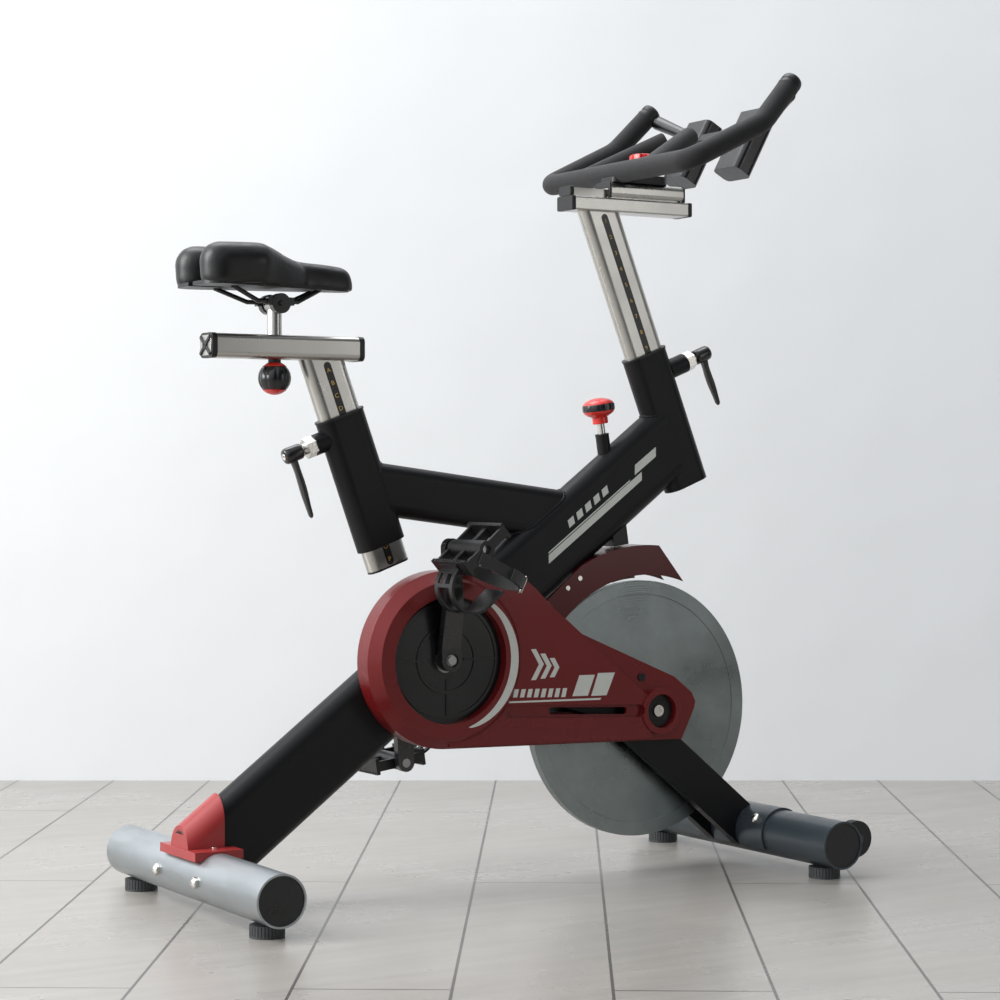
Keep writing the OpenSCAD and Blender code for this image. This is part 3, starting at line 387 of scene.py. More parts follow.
def swept(points, radius, segments=28, flat=1.0, round_ends=0.0):
    """A bar along a path. radius is one number or one for each point; flat squeezes it across its second direction."""
    frames = path_frames(points)
    radii = [radius] * len(frames) if not hasattr(radius, "__len__") else list(radius)
    if round_ends:
        first, last = frames[0], frames[-1]
        steps = [math.sin(math.radians(a)) for a in (15, 45, 70)]
        drops = [math.cos(math.radians(a)) for a in (15, 45, 70)]
        head = [(first[0] - first[1] * round_ends * s, first[1], first[2], first[3]) for s in reversed(steps)]
        tail = [(last[0] + last[1] * round_ends * s, last[1], last[2], last[3]) for s in steps]
        ends = [radii[0] - round_ends * (1 - d) for d in drops]
        tails = [radii[-1] - round_ends * (1 - d) for d in drops]
        frames = head + frames + tail
        radii = list(reversed(ends)) + radii + tails
    rings = []
    for (p, d, s, u), r in zip(frames, radii):
        rings.append([p + s * r * math.cos(a) + u * r * flat * math.sin(a)
                      for a in (2 * math.pi * j / segments for j in range(segments))])
    return rings_mesh(rings)


def fillet(points, radii, steps=10):
    """A path through points whose inner corners are rounded to the given radii."""
    pts = [Vector(p) for p in points]
    out = [pts[0]]
    for i in range(1, len(pts) - 1):
        a, b, c = pts[i - 1], pts[i], pts[i + 1]
        u, v = (a - b).normalized(), (c - b).normalized()
        half = math.acos(max(-1, min(1, u.dot(v)))) / 2
        cut = radii[i - 1] / math.tan(half)
        start, end = b + u * cut, b + v * cut
        centre = b + (u + v).normalized() * (radii[i - 1] / math.sin(half))
        e, f = start - centre, end - centre
        total = math.acos(max(-1, min(1, e.normalized().dot(f.normalized()))))
        for k in range(steps + 1):
            w = k / steps
            out.append(centre + (e * math.sin((1 - w) * total) + f * math.sin(w * total)) / math.sin(total))
    out.append(pts[-1])
    return out


def dense(points, step):
    """The same path with points no further apart than step."""
    out = [Vector(points[0])]
    for a, b in zip(points, points[1:]):
        a, b = Vector(a), Vector(b)
        n = max(1, math.ceil((b - a).length / step))
        out += [a.lerp(b, (k + 1) / n) for k in range(n)]
    return out


def bevel(obj, width, segments=3, angle=35):
    m = obj.modifiers.new("edge", "BEVEL")
    m.width, m.segments, m.limit_method, m.angle_limit = width, segments, "ANGLE", math.radians(angle)
    m.harden_normals = False
    return obj


def rounded_box(size, r, steps=4):
    """The outline of a rounded rectangle, as (a, b) points."""
    w, h = size[0] / 2 - r, size[1] / 2 - r
    out = []
    for cx, cy, start in ((w, h, 0), (-w, h, 90), (-w, -h, 180), (w, -h, 270)):
        for k in range(steps + 1):
            a = math.radians(start + 90 * k / steps)
            out.append((cx + r * math.cos(a), cy + r * math.sin(a)))
    return out


# ---- floor and backdrop ----

PLANK_TURN, PLANK_LENGTH, PLANK_WIDTH, PLANK_SHIFT, JOINT = -57.7, 1.6, 0.2, -0.0324, 0.0022
WALL_AWAY, SHEET_HALF, FLOOR_DEPTH, WALL_HEIGHT = 1.28, 6, 5, 4
right = Vector((math.cos(math.radians(VIEW_TURN)), math.sin(math.radians(VIEW_TURN)), 0))
away = Vector((-right.y, right.x, 0))
foot_of_wall = away * WALL_AWAY


def sheet(name, corners, mat):
    mesh = bpy.data.meshes.new(name)
    mesh.from_pydata([tuple(c) for c in corners], [], [(0, 1, 2, 3)])
    mesh.materials.append(mat)
    obj = bpy.data.objects.new(name, mesh)
    bpy.context.scene.collection.objects.link(obj)


floor_mat = material("floor", (0.44, 0.425, 0.40), 0.3, spread=0.06, spread_scale=2.5, bumps=((60, 0.0002),), edge=0,
                     specular=0.5, rough_spread=0.08)
tree = floor_mat.node_tree
shader = tree.nodes["Principled BSDF"]
where = tree.nodes.new("ShaderNodeTexCoord")
turned = tree.nodes.new("ShaderNodeMapping")
turned.inputs["Rotation"].default_value = (0, 0, math.radians(PLANK_TURN))
turned.inputs["Location"].default_value = (0, PLANK_SHIFT, 0)
tree.links.new(where.outputs["Object"], turned.inputs["Vector"])
tiles = tree.nodes.new("ShaderNodeTexBrick")
tiles.offset = 0.5
tiles.inputs["Scale"].default_value = 1.0
tiles.inputs["Brick Width"].default_value = PLANK_LENGTH
tiles.inputs["Row Height"].default_value = PLANK_WIDTH
tiles.inputs["Mortar Size"].default_value = JOINT
tiles.inputs["Mortar"].default_value = (0.09, 0.085, 0.08, 1)
tree.links.new(turned.outputs["Vector"], tiles.inputs["Vector"])
grain_map = tree.nodes.new("ShaderNodeMapping")
grain_map.inputs["Rotation"].default_value = (0, 0, math.radians(PLANK_TURN))
grain_map.inputs["Scale"].default_value = (2.0, 22.0, 1.0)
tree.links.new(where.outputs["Object"], grain_map.inputs["Vector"])
grain = tree.nodes.new("ShaderNodeTexNoise")
grain.inputs["Scale"].default_value, grain.inputs["Detail"].default_value = 1.6, 5.0
tree.links.new(grain_map.outputs["Vector"], grain.inputs["Vector"])
wood = tree.nodes.new("ShaderNodeMix")
wood.data_type = "RGBA"
wood.inputs[6].default_value = (0.26, 0.243, 0.222, 1)
wood.inputs[7].default_value = (0.38, 0.36, 0.335, 1)
tree.links.new(grain.outputs["Fac"], wood.inputs[0])
tree.links.new(wood.outputs[2], tiles.inputs["Color1"])
tree.links.new(wood.outputs[2], tiles.inputs["Color2"])
tree.links.new(tiles.outputs["Color"], shader.inputs["Base Color"])
wall_mat = material("backdrop", (0.70, 0.715, 0.73), 0.9, spread=0.02, spread_scale=1.2, bumps=((3, 0.01),), edge=0,
                    specular=0.1)
wall_foot = [foot_of_wall + right * SHEET_HALF, foot_of_wall - right * SHEET_HALF]
sheet("floor", wall_foot + [p - away * FLOOR_DEPTH for p in reversed(wall_foot)], floor_mat)
sheet("backdrop", wall_foot + [p + Vector((0, 0, WALL_HEIGHT)) for p in reversed(wall_foot)], wall_mat)

# ---- handlebar: foam sleeves, plastic tips and the stem ----

RISE = math.radians(26)
FORWARD = Vector((math.cos(RISE), 0, math.sin(RISE)))
HORN = Vector((0.686, -0.131, 0.7155)).normalized()


def mirrored(points, side):
    return [Vector((p.x, p.y * side, p.z)) for p in points]


corner = at(BAR_X, BAR_HALF, BAR_Z)
elbow = corner + FORWARD * (24 + 128) * MM
tip = elbow + HORN * 105 * MM
arm_path = fillet([at(BAR_X, 0, BAR_Z), corner, elbow, tip - HORN * 22 * MM], [24 * MM, 70 * MM], 12)
for side, tag in ((-1, "right"), (1, "left")):
    path = dense(mirrored(arm_path, side), 8 * MM)
    v, f = swept(path, 17.1 * MM, 36)
    piece(f"foam_arm_{tag}", v, f, FOAM, "bar_slider", ("handlebar",) if side < 0 else ())
    horn = Vector((HORN.x, HORN.y * side, HORN.z))
    end = Vector((tip.x, tip.y * side, tip.z))
    base = end - horn * 23 * MM
    cap = [(17.0, 0), (17.6, 0.6), (17.6, 4), (16.4, 4.6), (16.2, 9), (17.4, 9.8), (17.4, 14), (16.9, 17), (15.6, 19.6),
           (13.0, 21.6), (9.0, 22.6), (4.0, 23.0), (0.1, 23.0)]
    v, f = lathe(cap, 40)
    turn = horn.to_track_quat("Z", "Y").to_matrix().to_4x4()
    piece(f"horn_tip_{tag}", v, f, PLASTIC, "bar_slider", (), 35,
          Matrix.Translation(base) @ turn @ Matrix.Scale(MM, 4))
    a, b = at(BAR_X, 94 * side, BAR_Z), at(362, 34 * side, 1191)
    grip = (b - a).normalized()
    pts = dense([a, b - grip * 4 * MM], 10 * MM)
    v, f = swept(pts, 16.1 * MM, 32, round_ends=4 * MM)
    piece(f"foam_grip_{tag}", v, f, FOAM, "bar_slider")
    v, f = swept([b - grip * 0.4 * MM, b + grip * 0.6 * MM], 9 * MM, 28)
    piece(f"grip_plug_{tag}", v, f, PLASTIC, "bar_slider")

outline = rounded_box((92, 48), 22, 6)
v, f = rings_mesh([[at(x + 287, y, 1110.2) for x, y in outline], [at(x + 287, y, 1124) for x, y in outline]])
stem = piece("bar_stem", v, f, PLASTIC, "bar_slider")
bevel(stem, 1.6 * MM)

collar = rounded_box((40, 44), 9, 5)
v, f = rings_mesh([[at(x + 242, y, z) for x, y in collar] for z in (1110.3, 1119)])
bevel(piece("stem_collar", v, f, PLASTIC, "bar_slider"), 1.2 * MM)

sleeve_end = [(-22.6, 0.4), (-16.2, 0.4), (-16.2, 17), (16.2, 17), (16.2, 0.4), (22.6, 0.4), (22.6, 22), (18.6, 26),
              (-18.6, 26), (-22.6, 22)]
for tag, x in (("rear", 213.5), ("front", 357.0)):
    v, f = rings_mesh([[at(x + t, y, 1084.1 + z) for y, z in sleeve_end] for t in (0, 3.5)])
    bevel(piece(f"sleeve_cap_{tag}", v, f, PLASTIC, "bar_slider"), 0.8 * MM)


def glinting_cap_face(tag, x, z, size, r, body):
    """The bright plate on a rail's rear cap, a painted reflection of the light on the glossy black cap, with the cap's
    black cross and boss standing on it.
    """
    outline = rounded_box((size[0] - 6, size[1] - 6), r, 5)
    # painted highlight: the bright aluminium plate stands in for the light reflected off the glossy black cap
    v, f = rings_mesh([[at(x, a, z + b) for a, b in outline], [at(x - 1.4, a, z + b) for a, b in outline]])
    bevel(piece(f"{tag}_cap_glint_plate", v, f, ALUMINIUM, body), 0.5 * MM)
    w, h = size[0] / 2 - 5, size[1] / 2 - 5
    for k, sign in enumerate((1, -1)):
        a, b = Vector((-w, -h * sign)), Vector((w, h * sign))
        d = (b - a).normalized()
        n = Vector((-d.y, d.x)) * 2.6
        bar = [a + n, b + n, b - n, a - n]
        v, f = rings_mesh([[at(x - 1, q.x, z + q.y) for q in bar], [at(x - 3.4 - 0.2 * k, q.x, z + q.y) for q in bar]])
        bevel(piece(f"{tag}_cap_bar_{k}", v, f, PLASTIC, body), 0.7 * MM)
    v, f = lathe([(5.6, 0), (6.2, 0.5), (6.2, 2.6), (5.4, 3.4), (3.0, 3.4), (2.6, 2.4), (0.1, 2.4)], 32)
    turn = Matrix.Translation(at(x - 0.8, 0, z)) @ Matrix.Rotation(math.radians(-90), 4, "Y") @ Matrix.Scale(MM, 4)
    piece(f"{tag}_cap_boss", v, f, PLASTIC, body, (), 35, turn)


glinting_cap_face("seat_rail", -479, 830, (44, 36), 8, "seat_column")

# ---- buckles and strap tails ----

for tag, spot, turn, side, body in (("right", (-115.9, -146, 530.36), 139, -1, "right_pedal"),
                                    ("left", (-102.1, 146, 186.64), -8, 1, "left_pedal")):
    strap = (Matrix.Translation(at(*spot)) @ Matrix.Rotation(math.radians(turn), 4, "Y") @ Matrix.Scale(MM, 4)
             @ Matrix.Translation((17.5, 0, 0)) @ Matrix.Rotation(math.radians(-22.7), 4, "Y"))

    def on_strap(x, along_strap, out):
        """A point over the strap's arch: across it, degrees along it from its outer side, and away from it."""
        a = math.radians(along_strap)
        r = 50.5 + out
        return Vector((x, side * r * math.cos(a), 52.5 + r * math.sin(a)))

    hoop = [on_strap(x, a, 2.2) for x, a in ((0, 52), (12.5, 52), (12.5, 76), (-12.5, 76), (-12.5, 52), (0, 52))]
    v, f = swept(dense(fillet(hoop, [3, 3, 3, 3], 5), 2), 1.5, 10)
    piece(f"buckle_frame_{tag}", v, f, NICKEL, body, (), 50, strap)
    v, f = swept([on_strap(-12, 63, 3.2), on_strap(12, 63, 3.2)], 1.7, 14)
    piece(f"buckle_pin_{tag}", v, f, NICKEL, body, (), 50, strap)
    gate = ((-9, 60), (9, 60), (10, 64), (10, 78), (7, 82), (-7, 82), (-10, 78), (-10, 64))
    v, f = rings_mesh([[on_strap(x, a, out + (a - 60) * 0.16) for x, a in gate] for out in (3.4, 5.2)])
    bevel(piece(f"buckle_gate_{tag}", v, f, NICKEL, body, (), 35, strap), 0.4 * MM)
    ribbon = []
    for k in range(26):
        w = k / 25
        a, out = 66 - 62 * w, 2.0 + 1.0 * math.sin(w * math.pi) + 5.5 * w ** 2
        ribbon.append([on_strap(-8.8, a, out), on_strap(8.8, a, out), on_strap(8.8, a, out + 1.5),
                       on_strap(-8.8, a, out + 1.5)])
    v, f = rings_mesh(ribbon)
    piece(f"strap_tail_{tag}", v, f, WEBBING, body, (), 40, strap)
    for k, a in enumerate((100, 124)):
        v, f = rings_mesh([[on_strap(x, a + q, 0.4) for x, q in ((-7.5, -1), (7.5, -1), (7.5, 1), (-7.5, 1))],
                           [on_strap(x, a + q, 1.0) for x, q in ((-7.2, -0.8), (7.2, -0.8), (7.2, 0.8), (-7.2, 0.8))]])
        piece(f"strap_stitch_{tag}_{k}", v, f, WEBBING, body, (), 40, strap)

# ---- painted shade: a dark ring round the flywheel's axle and the cap of the cover's screw, both near-black for the shadow deep in the cover's recesses ----

SHADE_RING_SIDES = 64
SHADE_RING = [(9.8, 0), (26.4, 0), (26.4, 1.2), (25.6, 1.9), (17.5, 1.9), (16.8, 1.2), (11, 1.2), (9.8, 0.8)]
v, f = lathe(SHADE_RING, SHADE_RING_SIDES)
last = (len(SHADE_RING) - 1) * SHADE_RING_SIDES
f = [q for q in f if len(q) == 4] + [(i, (i + 1) % SHADE_RING_SIDES, last + (i + 1) % SHADE_RING_SIDES, last + i)
                                     for i in range(SHADE_RING_SIDES)]
piece("nose_recess_shade", v, f, RECESS_SHADE, "frame", (), 35,
      Matrix.Translation(at(AXLE[0], -59.6, AXLE[1])) @ Matrix.Rotation(math.radians(90), 4, "X") @ Matrix.Scale(MM, 4))

v, f = lathe([(0, 0), (6.6, 0), (6.6, 2.6), (6.1, 3.1), (4.6, 3.1), (4.0, 2.5), (0, 2.1)], 32)
piece("cover_screw_cap", v, f, RECESS_SHADE, "frame", (), 35,
      Matrix.Translation(at(249, -60, 317)) @ Matrix.Rotation(math.radians(90), 4, "X") @ Matrix.Scale(MM, 4))

# ---- knobs ----


def knob(name, profile, mat, body, slot_name, place, replaces=(), **ribs):
    v, f = lathe(profile, 96, **ribs)
    return piece(name, v, f, mat, body, replaces, 32, place)


bar_knob_at = upright(292, 0, 1124.2)
knob("bar_knob_grip", [(9, 0), (9.4, 1), (9.4, 11), (17, 12.2), (18.4, 13.4), (18.8, 15), (18.8, 33), (18.2, 35),
                       (16.5, 36), (11, 36.6), (10.4, 36.0), (0.1, 36.0)], RED, "bar_lock", "knob_red", bar_knob_at,
     ("bar_knob",), flutes=8, flute_depth=3.0, flute_from=(4, 7))

ball_at = upright(-369, 0, 784)
ball = []
for k in range(-16, 17):
    a = math.radians(k * 4.4)
    ball.append((24.6 * math.cos(a), 24.6 * math.sin(a)))
knob("ball_grip", ball, GLOSS_BLACK, "saddle_lock", "knob_black", ball_at, ("seat_knob",), flutes=10,
     flute_depth=-1.0, flute_from=(8, 24))
for tag, sign in (("top", 1), ("bottom", -1)):
    band = []
    for k in range(0, 13):
        a = math.radians(44 + k * 3.4)
        band.append((25.1 * math.cos(a), sign * 25.1 * math.sin(a)))
    band = [(band[0][0] - 1.4, band[0][1] - sign * 0.5)] + band
    if sign < 0:
        band += [(0.1, -25.1)]
    else:
        band += [(9.2, 25.0), (9.0, 27.4), (5.2, 27.6), (5.2, 30)]
    v, f = lathe(band, 64)
    piece(f"ball_band_{tag}", v, f, RED, "saddle_lock", (), 35, ball_at)
v, f = lathe([(9.1, 22.0), (9.6, 22.6), (9.6, 27.0), (9.2, 27.5), (5.1, 27.5), (5.1, 49), (4.6, 50), (0.1, 50)], 48)
piece("ball_neck", v, f, PLASTIC, "saddle_lock", (), 30, ball_at)

BRAKE = slope(AXLE, BRAKE_ANGLE)
knob("brake_cap", [(11.9, 466), (12.6, 466.6), (12.8, 476), (15.5, 478), (20.5, 480.5), (24.4, 484), (25.8, 487.2)],
     RED, "brake_button", "knob_red", BRAKE, ("brake_knob",))
knob("brake_cap_band", [(25.2, 486.6), (26, 487.4), (26.4, 490), (26.3, 494.5), (25.6, 497.4), (24.6, 498.2)],
     GLOSS_BLACK, "brake_button", "knob_black", BRAKE, flutes=12, flute_depth=-0.8, flute_from=(2, 3))
knob("brake_cap_top", [(24.8, 497.6), (24.9, 498.6), (23, 501), (18.5, 504), (12, 506.4), (6, 507.6), (0.1, 508)],
     RED, "brake_button", "knob_red", BRAKE)
knob("brake_stem_collar", [(11.4, 447.6), (11.4, 449.2), (10, 449.8), (6.6, 449.9)], PLASTIC, "frame", "frame_black",
     BRAKE)

# ---- clamp levers ----


def clamp_lever(tag, point, angle, boss_end, length, swing, body, node_name):
    """A moulded lever: a hub with a plate on it, and an arm that widens, bends and thins. Its shaft is nickel."""
    place = slope(point, angle)
    start = boss_end + 23
    v, f = lathe([(4.9, 40.4), (5, 40.8), (5, start + 2)], 32)
    piece(f"{tag}_shaft", v, f, NICKEL, body, (), 30, place)
    v, f = lathe([(5.2, start + 0.3), (11.2, start + 0.4), (11.9, start + 1.4), (12.2, start + 5), (12.4, start + 22),
                  (11.8, start + 26.5), (10.2, start + 28.6), (6.4, start + 29.6), (6.0, start + 28.8),
                  (0.1, start + 28.8)], 48)
    piece(f"{tag}_hub", v, f, CRANK_BLACK, body, (node_name,), 35, place)
    v, f = lathe([(5.4, start + 28.6), (5.4, start + 29.9), (4.6, start + 30.4), (2.6, start + 30.4),
                  (2.4, start + 29.2), (0.1, start + 29.2)], 24)
    piece(f"{tag}_screw", v, f, NICKEL, body, (), 30, place)
    turn = Matrix.Rotation(math.radians(swing), 4, "Z")
    spine, wide = [], []
    for k in range(25):
        w = k / 24
        spine.append(turn @ Vector((w * length, 0, start + 17 - 3.0 * math.sin(w * math.pi) * (1 - w))))
        belly = 4.2 * math.sin(min(1, max(0, (w - 0.25) / 0.75)) * math.pi) ** 1.2 * 0.55
        wide.append(10.4 - 6.4 * w ** 0.45 + belly + (2.2 * (w - 0.8) / 0.2 if w > 0.8 else 0) * 0.5)
    squareness, thinness = 0.72, 0.62
    rings = []
    for p, r in zip(spine, wide):
        ring = []
        for j in range(24):
            a = 2 * math.pi * j / 24
            c, s = math.cos(a), math.sin(a)
            ring.append(p + turn @ Vector((0, math.copysign(abs(c) ** squareness, c) * r,
                                           math.copysign(abs(s) ** squareness, s) * r * thinness)))
        rings.append(ring)
    last = spine[-1]
    for r, d in ((wide[-1] * 0.9, 2.2), (wide[-1] * 0.62, 4.0), (wide[-1] * 0.2, 5.0)):
        rings.append([last + turn @ Vector((d, math.cos(a) * r, math.sin(a) * r * thinness))
                      for a in (2 * math.pi * j / 24 for j in range(24))])
    v, f = rings_mesh(rings)
    piece(f"{tag}_arm", v, f, CRANK_BLACK, body, (), 40, place)


def along(foot, angle, length):
    return (foot[0] + length * math.cos(math.radians(angle)), foot[1] + length * math.sin(math.radians(angle)))


clamp_lever("seat_clamp_lever", along(SEAT_FOOT, SEAT_ANGLE, 180), SEAT_ANGLE + 90, 56, 96, 180, "seat_clamp",
            "seat_lever")
clamp_lever("bar_clamp_lever", along(HEAD_FOOT, HEAD_ANGLE, 187), HEAD_ANGLE - 90, 70, 84, 0, "bar_clamp",
            "bar_lever")

# ---- printed stripes and scales ----

BEAM = slope(CRANK, BEAM_ANGLE)


def film(name, loops, body, mat, place, thickness):
    """A thin printed film: closed outlines in the plane y = 0 of a place, as (x, z) points, thickness toward -y."""
    verts, faces = [], []
    for outline in loops:
        n, base = len(outline), len(verts)
        verts += [(x, 0, z) for x, z in outline] + [(x, -thickness, z) for x, z in outline]
        faces += [tuple(range(base, base + n)), tuple(range(base + 2 * n - 1, base + n - 1, -1))]
        faces += [(base + i, base + (i + 1) % n, base + n + (i + 1) % n, base + n + i) for i in range(n)]
    return piece(name, verts, faces, mat, body, (), 30, place)


for side, tag in ((-1, "right"), (1, "left")):
    # in the beam's frame z runs up the beam and x points down across it
    thick = [(10.8, 249.5), (-0.3, 257.5), (1.0, 478), (12.2, 470)]
    thin = [(-1.9, 258.6), (-4.0, 260), (-2.2, 452), (-0.2, 450.5)]
    slash = [(-2.6, 464), (-15.5, 474), (-14.5, 524), (-2.0, 515)]
    place = BEAM @ Matrix.Translation((0, side * 25.02, 0))
    if side > 0:
        place = place @ Matrix.Scale(-1, 4, Y_AXIS)
    dashes = [[(-10.5, z), (-10.5 - 0.2, z + 13), (-22.4, z + 17.5), (-22.2, z + 4.5)]
              for z in (314, 334, 354, 374, 394)]
    film(f"beam_stripes_{tag}", [thick, thin, slash] + dashes, "frame", WHITE_FILM, place, 0.12)

crescent = []
for k in range(49):
    a = math.radians(-74 + (60 + 74) * k / 48)
    r = 107.5 + 11.5 * math.sin(math.pi * k / 48) ** 0.6
    crescent.append((CRANK[0] + r * math.cos(a), CRANK[1] + r * math.sin(a)))
for k in range(1, 48):
    a = math.radians(60 - (60 + 74) * k / 48)
    r = 107.0 - 1.8 * math.sin(math.pi * k / 48) ** 0.6
    crescent.append((CRANK[0] + r * math.cos(a), CRANK[1] + r * math.sin(a)))
film("cover_crescent", [crescent], "frame", WHITE_FILM, upright(0, -76.02, 0), 0.12)
marks = [[(-6, 288.4), (-6, 291.0), (166, 288.6), (164, 285.6)]]
for k in range(8):
    x = 3 + 12.6 * k
    z = 296.6 - 0.5 * k
    marks.append([(x, z), (x + 3.4, z + 12.5 + 0.2 * k), (x + 11.2, z + 12.4 + 0.2 * k), (x + 7.8, z - 0.1)])
for k in range(2):
    x = 112 + 35 * k
    marks.append([(x, 293.6 - k), (x + 13, 326 + 2 * k), (x + 42 + 3 * k, 325.6 + 2 * k), (x + 29, 293.2 - k)])
for k in range(3):
    x, z, h = 36 + 17 * k, 322 + 1.5 * k, 48 - 9 * k
    marks.append([(x, z), (x + 9, z), (x + 9 + h * 0.30, z + h * 0.5), (x + 9, z + h), (x, z + h),
                  (x + h * 0.30, z + h * 0.5)])
film("cover_underline", marks, "frame", WHITE_FILM, upright(0, -70.02, 0), 0.12)


def scale_strip(tag, foot, angle, start, end, marks, body):
    """The black scale on a post's two sides, with its marks from the top down."""
    place = slope(foot, angle)
    for side, name in ((-1, "right"), (1, "left")):
        flip = Matrix.Identity(4) if side < 0 else Matrix.Scale(-1, 4, Y_AXIS)
        outline = []
        for centre, sign in ((end - 6.2, 1), (start + 6.2, -1)):
            for k in range(9):
                a = math.radians(22.5 * k)
                outline.append((6.2 * math.cos(a) * sign, centre + 6.2 * math.sin(a) * sign))
        film(f"{tag}_scale_{name}", [outline], body, SCALE_BLACK,
             place @ Matrix.Translation((0, side * 14.008, 0)) @ flip, 0.012)
        for text, z in marks:
            if z < start + 5 or z > end - 5:
                continue
            curve = bpy.data.curves.new("mark", "FONT")
            curve.body, curve.size, curve.align_x, curve.align_y = text, 9.5, "CENTER", "CENTER"
            holder = bpy.data.objects.new("mark", curve)
            bpy.context.scene.collection.objects.link(holder)
            mesh = bpy.data.meshes.new_from_object(holder)
            bpy.data.objects.remove(holder)
            stand = Matrix.Rotation(math.radians(90), 4, "X")
            if side > 0:
                stand = Matrix.Rotation(math.radians(180), 4, "Z") @ stand
            mesh.transform(place @ Matrix.Translation((0, side * 14.035, z)) @ stand)
            finish_piece(f"{tag}_mark_{name}_{text}", mesh, GOLD_PRINT, body, (), 0)


scale_strip("seat_post", SEAT_FOOT, SEAT_ANGLE, -32, 293, [(chr(65 + k), 280 - 20.2 * k) for k in range(16)],
            "seat_column")
scale_strip("bar_post", HEAD_FOOT, HEAD_ANGLE, 90, 466, [(str(k + 1), 454 - 27 * k) for k in range(12)],
            "bar_column")

# ---- welds: beads where one tube meets another ----


def surface(node_name):
    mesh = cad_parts[node_name].data
    return BVHTree.FromPolygons([v.co for v in mesh.vertices], [p.vertices for p in mesh.polygons])


def weld(name, tube_place, h, w, direction, start, target, radius=2.2, seed=0):
    """A bead round a flat-oval tube where its surface meets another node, found by rays along the tube."""
    met = surface(target)
    straight, turn = (h - w) / 2, w / 2
    outline = []
    for k in range(12):
        outline.append((straight - 2 * straight * k / 12, turn))
    for k in range(14):
        a = math.pi / 2 + math.pi * k / 14
        outline.append((-straight + turn * math.cos(a), turn * math.sin(a)))
    for k in range(12):
        outline.append((-straight + 2 * straight * k / 12, -turn))
    for k in range(14):
        a = -math.pi / 2 + math.pi * k / 14
        outline.append((straight + turn * math.cos(a), turn * math.sin(a)))
    d = (tube_place.to_3x3() @ Vector((0, 0, direction))).normalized()
    points = []
    for x, y in outline:
        origin = tube_place @ Vector((x, y, start))
        points.append(met.ray_cast(origin, d, 0.5)[0])
    runs, run = [], []
    for p in points + [None]:
        if p is None or (run and (p - run[-1]).length > 0.02):
            if len(run) > 3:
                runs.append(run)
            run = [p] if p is not None else []
        else:
            run.append(p)
    if len(runs) > 1 and points[0] is not None and points[-1] is not None and (points[0] - points[-1]).length < 0.02:
        runs[0] = runs.pop() + runs[0]
    loop = len(runs) == 1 and len(runs[0]) == len(points)
    for i, run in enumerate(runs):
        if loop:
            run = run + [run[0]]
        fine = dense(run, 1.5 * MM)
        radii = [radius * MM * (0.8 + 0.3 * abs(math.sin(k * 0.8)) + 0.12 * noise.noise(Vector((k * 0.3, seed, i))))
                 for k in range(len(fine))]
        v, f = swept(fine, radii, 12)
        piece(f"{name}_{i}", v, f, POWDER, "frame", (), 50)


TOP_TUBE = slope((-222, 622.4), -7.5)
weld("weld_top_rear", TOP_TUBE, 80, 38, -1, 150, "seat_tube", seed=1)
weld("weld_top_front", TOP_TUBE, 80, 38, 1, 60, "main_beam", seed=2)
weld("weld_beam_head", BEAM, 120, 50, 1, 480, "head_tube", seed=3)

# ---- saddle ----


def cushion_mesh():
    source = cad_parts["saddle_cushion"].data.copy()
    obj = bpy.data.objects.new("saddle_pad", source)
    bpy.context.scene.collection.objects.link(obj)
    remesh = obj.modifiers.new("remesh", "REMESH")
    remesh.mode, remesh.voxel_size = "VOXEL", 4.2 * MM
    ease = obj.modifiers.new("ease", "SMOOTH")
    ease.factor, ease.iterations = 0.6, 10
    return obj


def apply_modifiers(obj):
    dg = bpy.context.evaluated_depsgraph_get()
    mesh = bpy.data.meshes.new_from_object(obj.evaluated_get(dg))
    obj.modifiers.clear()
    obj.data = mesh


CLOTH_STEPS = 18
HELD_BELOW = 0.926  # the height under which the cover is fixed to the base


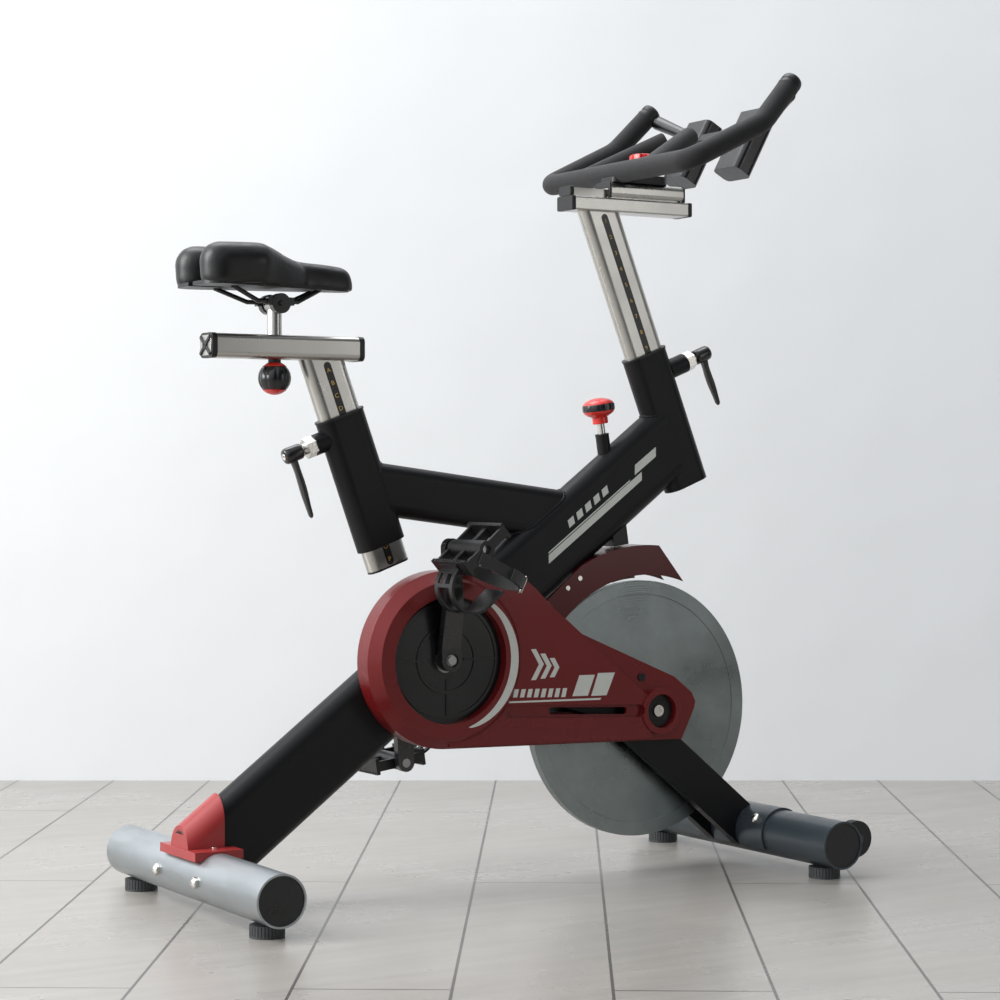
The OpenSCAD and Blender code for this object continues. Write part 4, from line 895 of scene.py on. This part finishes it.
def inflate(obj, pressure, cap):
    """Swells a closed mesh as air under cloth does, then limits how far each point has moved."""
    before = np.empty(len(obj.data.vertices) * 3)
    obj.data.vertices.foreach_get("co", before)
    cloth = obj.modifiers.new("cloth", "CLOTH")
    s = cloth.settings
    s.quality, s.mass = 6, 0.15
    s.use_pressure, s.uniform_pressure_force = True, pressure
    s.tension_stiffness = s.compression_stiffness = 25
    s.shear_stiffness = 12
    s.bending_stiffness = 1.2
    s.effector_weights.gravity = 0
    group = obj.vertex_groups.new(name="held")
    low = [v.index for v in obj.data.vertices if v.co.z < HELD_BELOW]
    group.add(low, 1.0, "REPLACE")
    s.vertex_group_mass = "held"
    scene = bpy.context.scene
    for step in range(1, CLOTH_STEPS + 1):
        scene.frame_set(step)
    dg = bpy.context.evaluated_depsgraph_get()
    mesh = bpy.data.meshes.new_from_object(obj.evaluated_get(dg))
    after = np.empty(len(mesh.vertices) * 3)
    mesh.vertices.foreach_get("co", after)
    move = (after - before).reshape(-1, 3)
    far = np.linalg.norm(move, axis=1, keepdims=True)
    move *= np.minimum(1.0, cap / np.maximum(far, 1e-9))
    obj.modifiers.clear()
    mesh.vertices.foreach_set("co", (before.reshape(-1, 3) + move).ravel())
    obj.data = mesh
    obj.vertex_groups.clear()
    scene.frame_set(1)


def smooth_step(a, b, x):
    t = min(1.0, max(0.0, (x - a) / (b - a)))
    return t * t * (3 - 2 * t)


def shape_saddle(obj):
    """Raises the two sitting pads, presses the middle channel and draws in the rear notch."""
    for v in obj.data.vertices:
        x, y, z = v.co.x / MM - SHIFT, v.co.y / MM, v.co.z / MM
        up = smooth_step(925, 950, z)
        pad = (1 - smooth_step(-395, -360, x)) * smooth_step(8, 22, abs(y)) * (1 - smooth_step(62, 74, abs(y)))
        channel = math.exp(-(y / 7.5) ** 2) * (1 - smooth_step(-330, -285, x))
        v.co.z += (3.2 * pad - 4.5 * channel) * up * MM
        waist = math.exp(-((x + 392) / 22) ** 2) * smooth_step(20, 40, abs(y))
        v.co.y -= math.copysign(1.8 * waist, y) * MM


def wrap_edge(obj):
    """Lets the pad's lower edge stand out and hang over the base, as the cover is pulled round it."""
    mesh = obj.data
    moves = []
    for v in mesh.vertices:
        z = v.co.z / MM
        n = v.normal
        h = math.hypot(n.x, n.y)
        f = (1 - smooth_step(924, 941, z)) * min(1.0, h * 1.5)
        moves.append(Vector((n.x * 4.6 * f, n.y * 4.6 * f, -9.0 * f)) * MM)
    for v, m in zip(mesh.vertices, moves):
        v.co += m


saddle = cushion_mesh()
apply_modifiers(saddle)
wrap_edge(saddle)
inflate(saddle, 4.0, 5 * MM)
shape_saddle(saddle)
ease = saddle.modifiers.new("ease", "SMOOTH")
ease.factor, ease.iterations = 0.5, 3
saddle.modifiers.new("finer", "SUBSURF").levels = 1
saddle.modifiers["finer"].render_levels = 1
apply_modifiers(saddle)
saddle.data.materials.clear()
saddle.data.materials.append(VINYL)
saddle.data.shade_smooth()
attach(saddle, "saddle")
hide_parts("saddle_cushion")
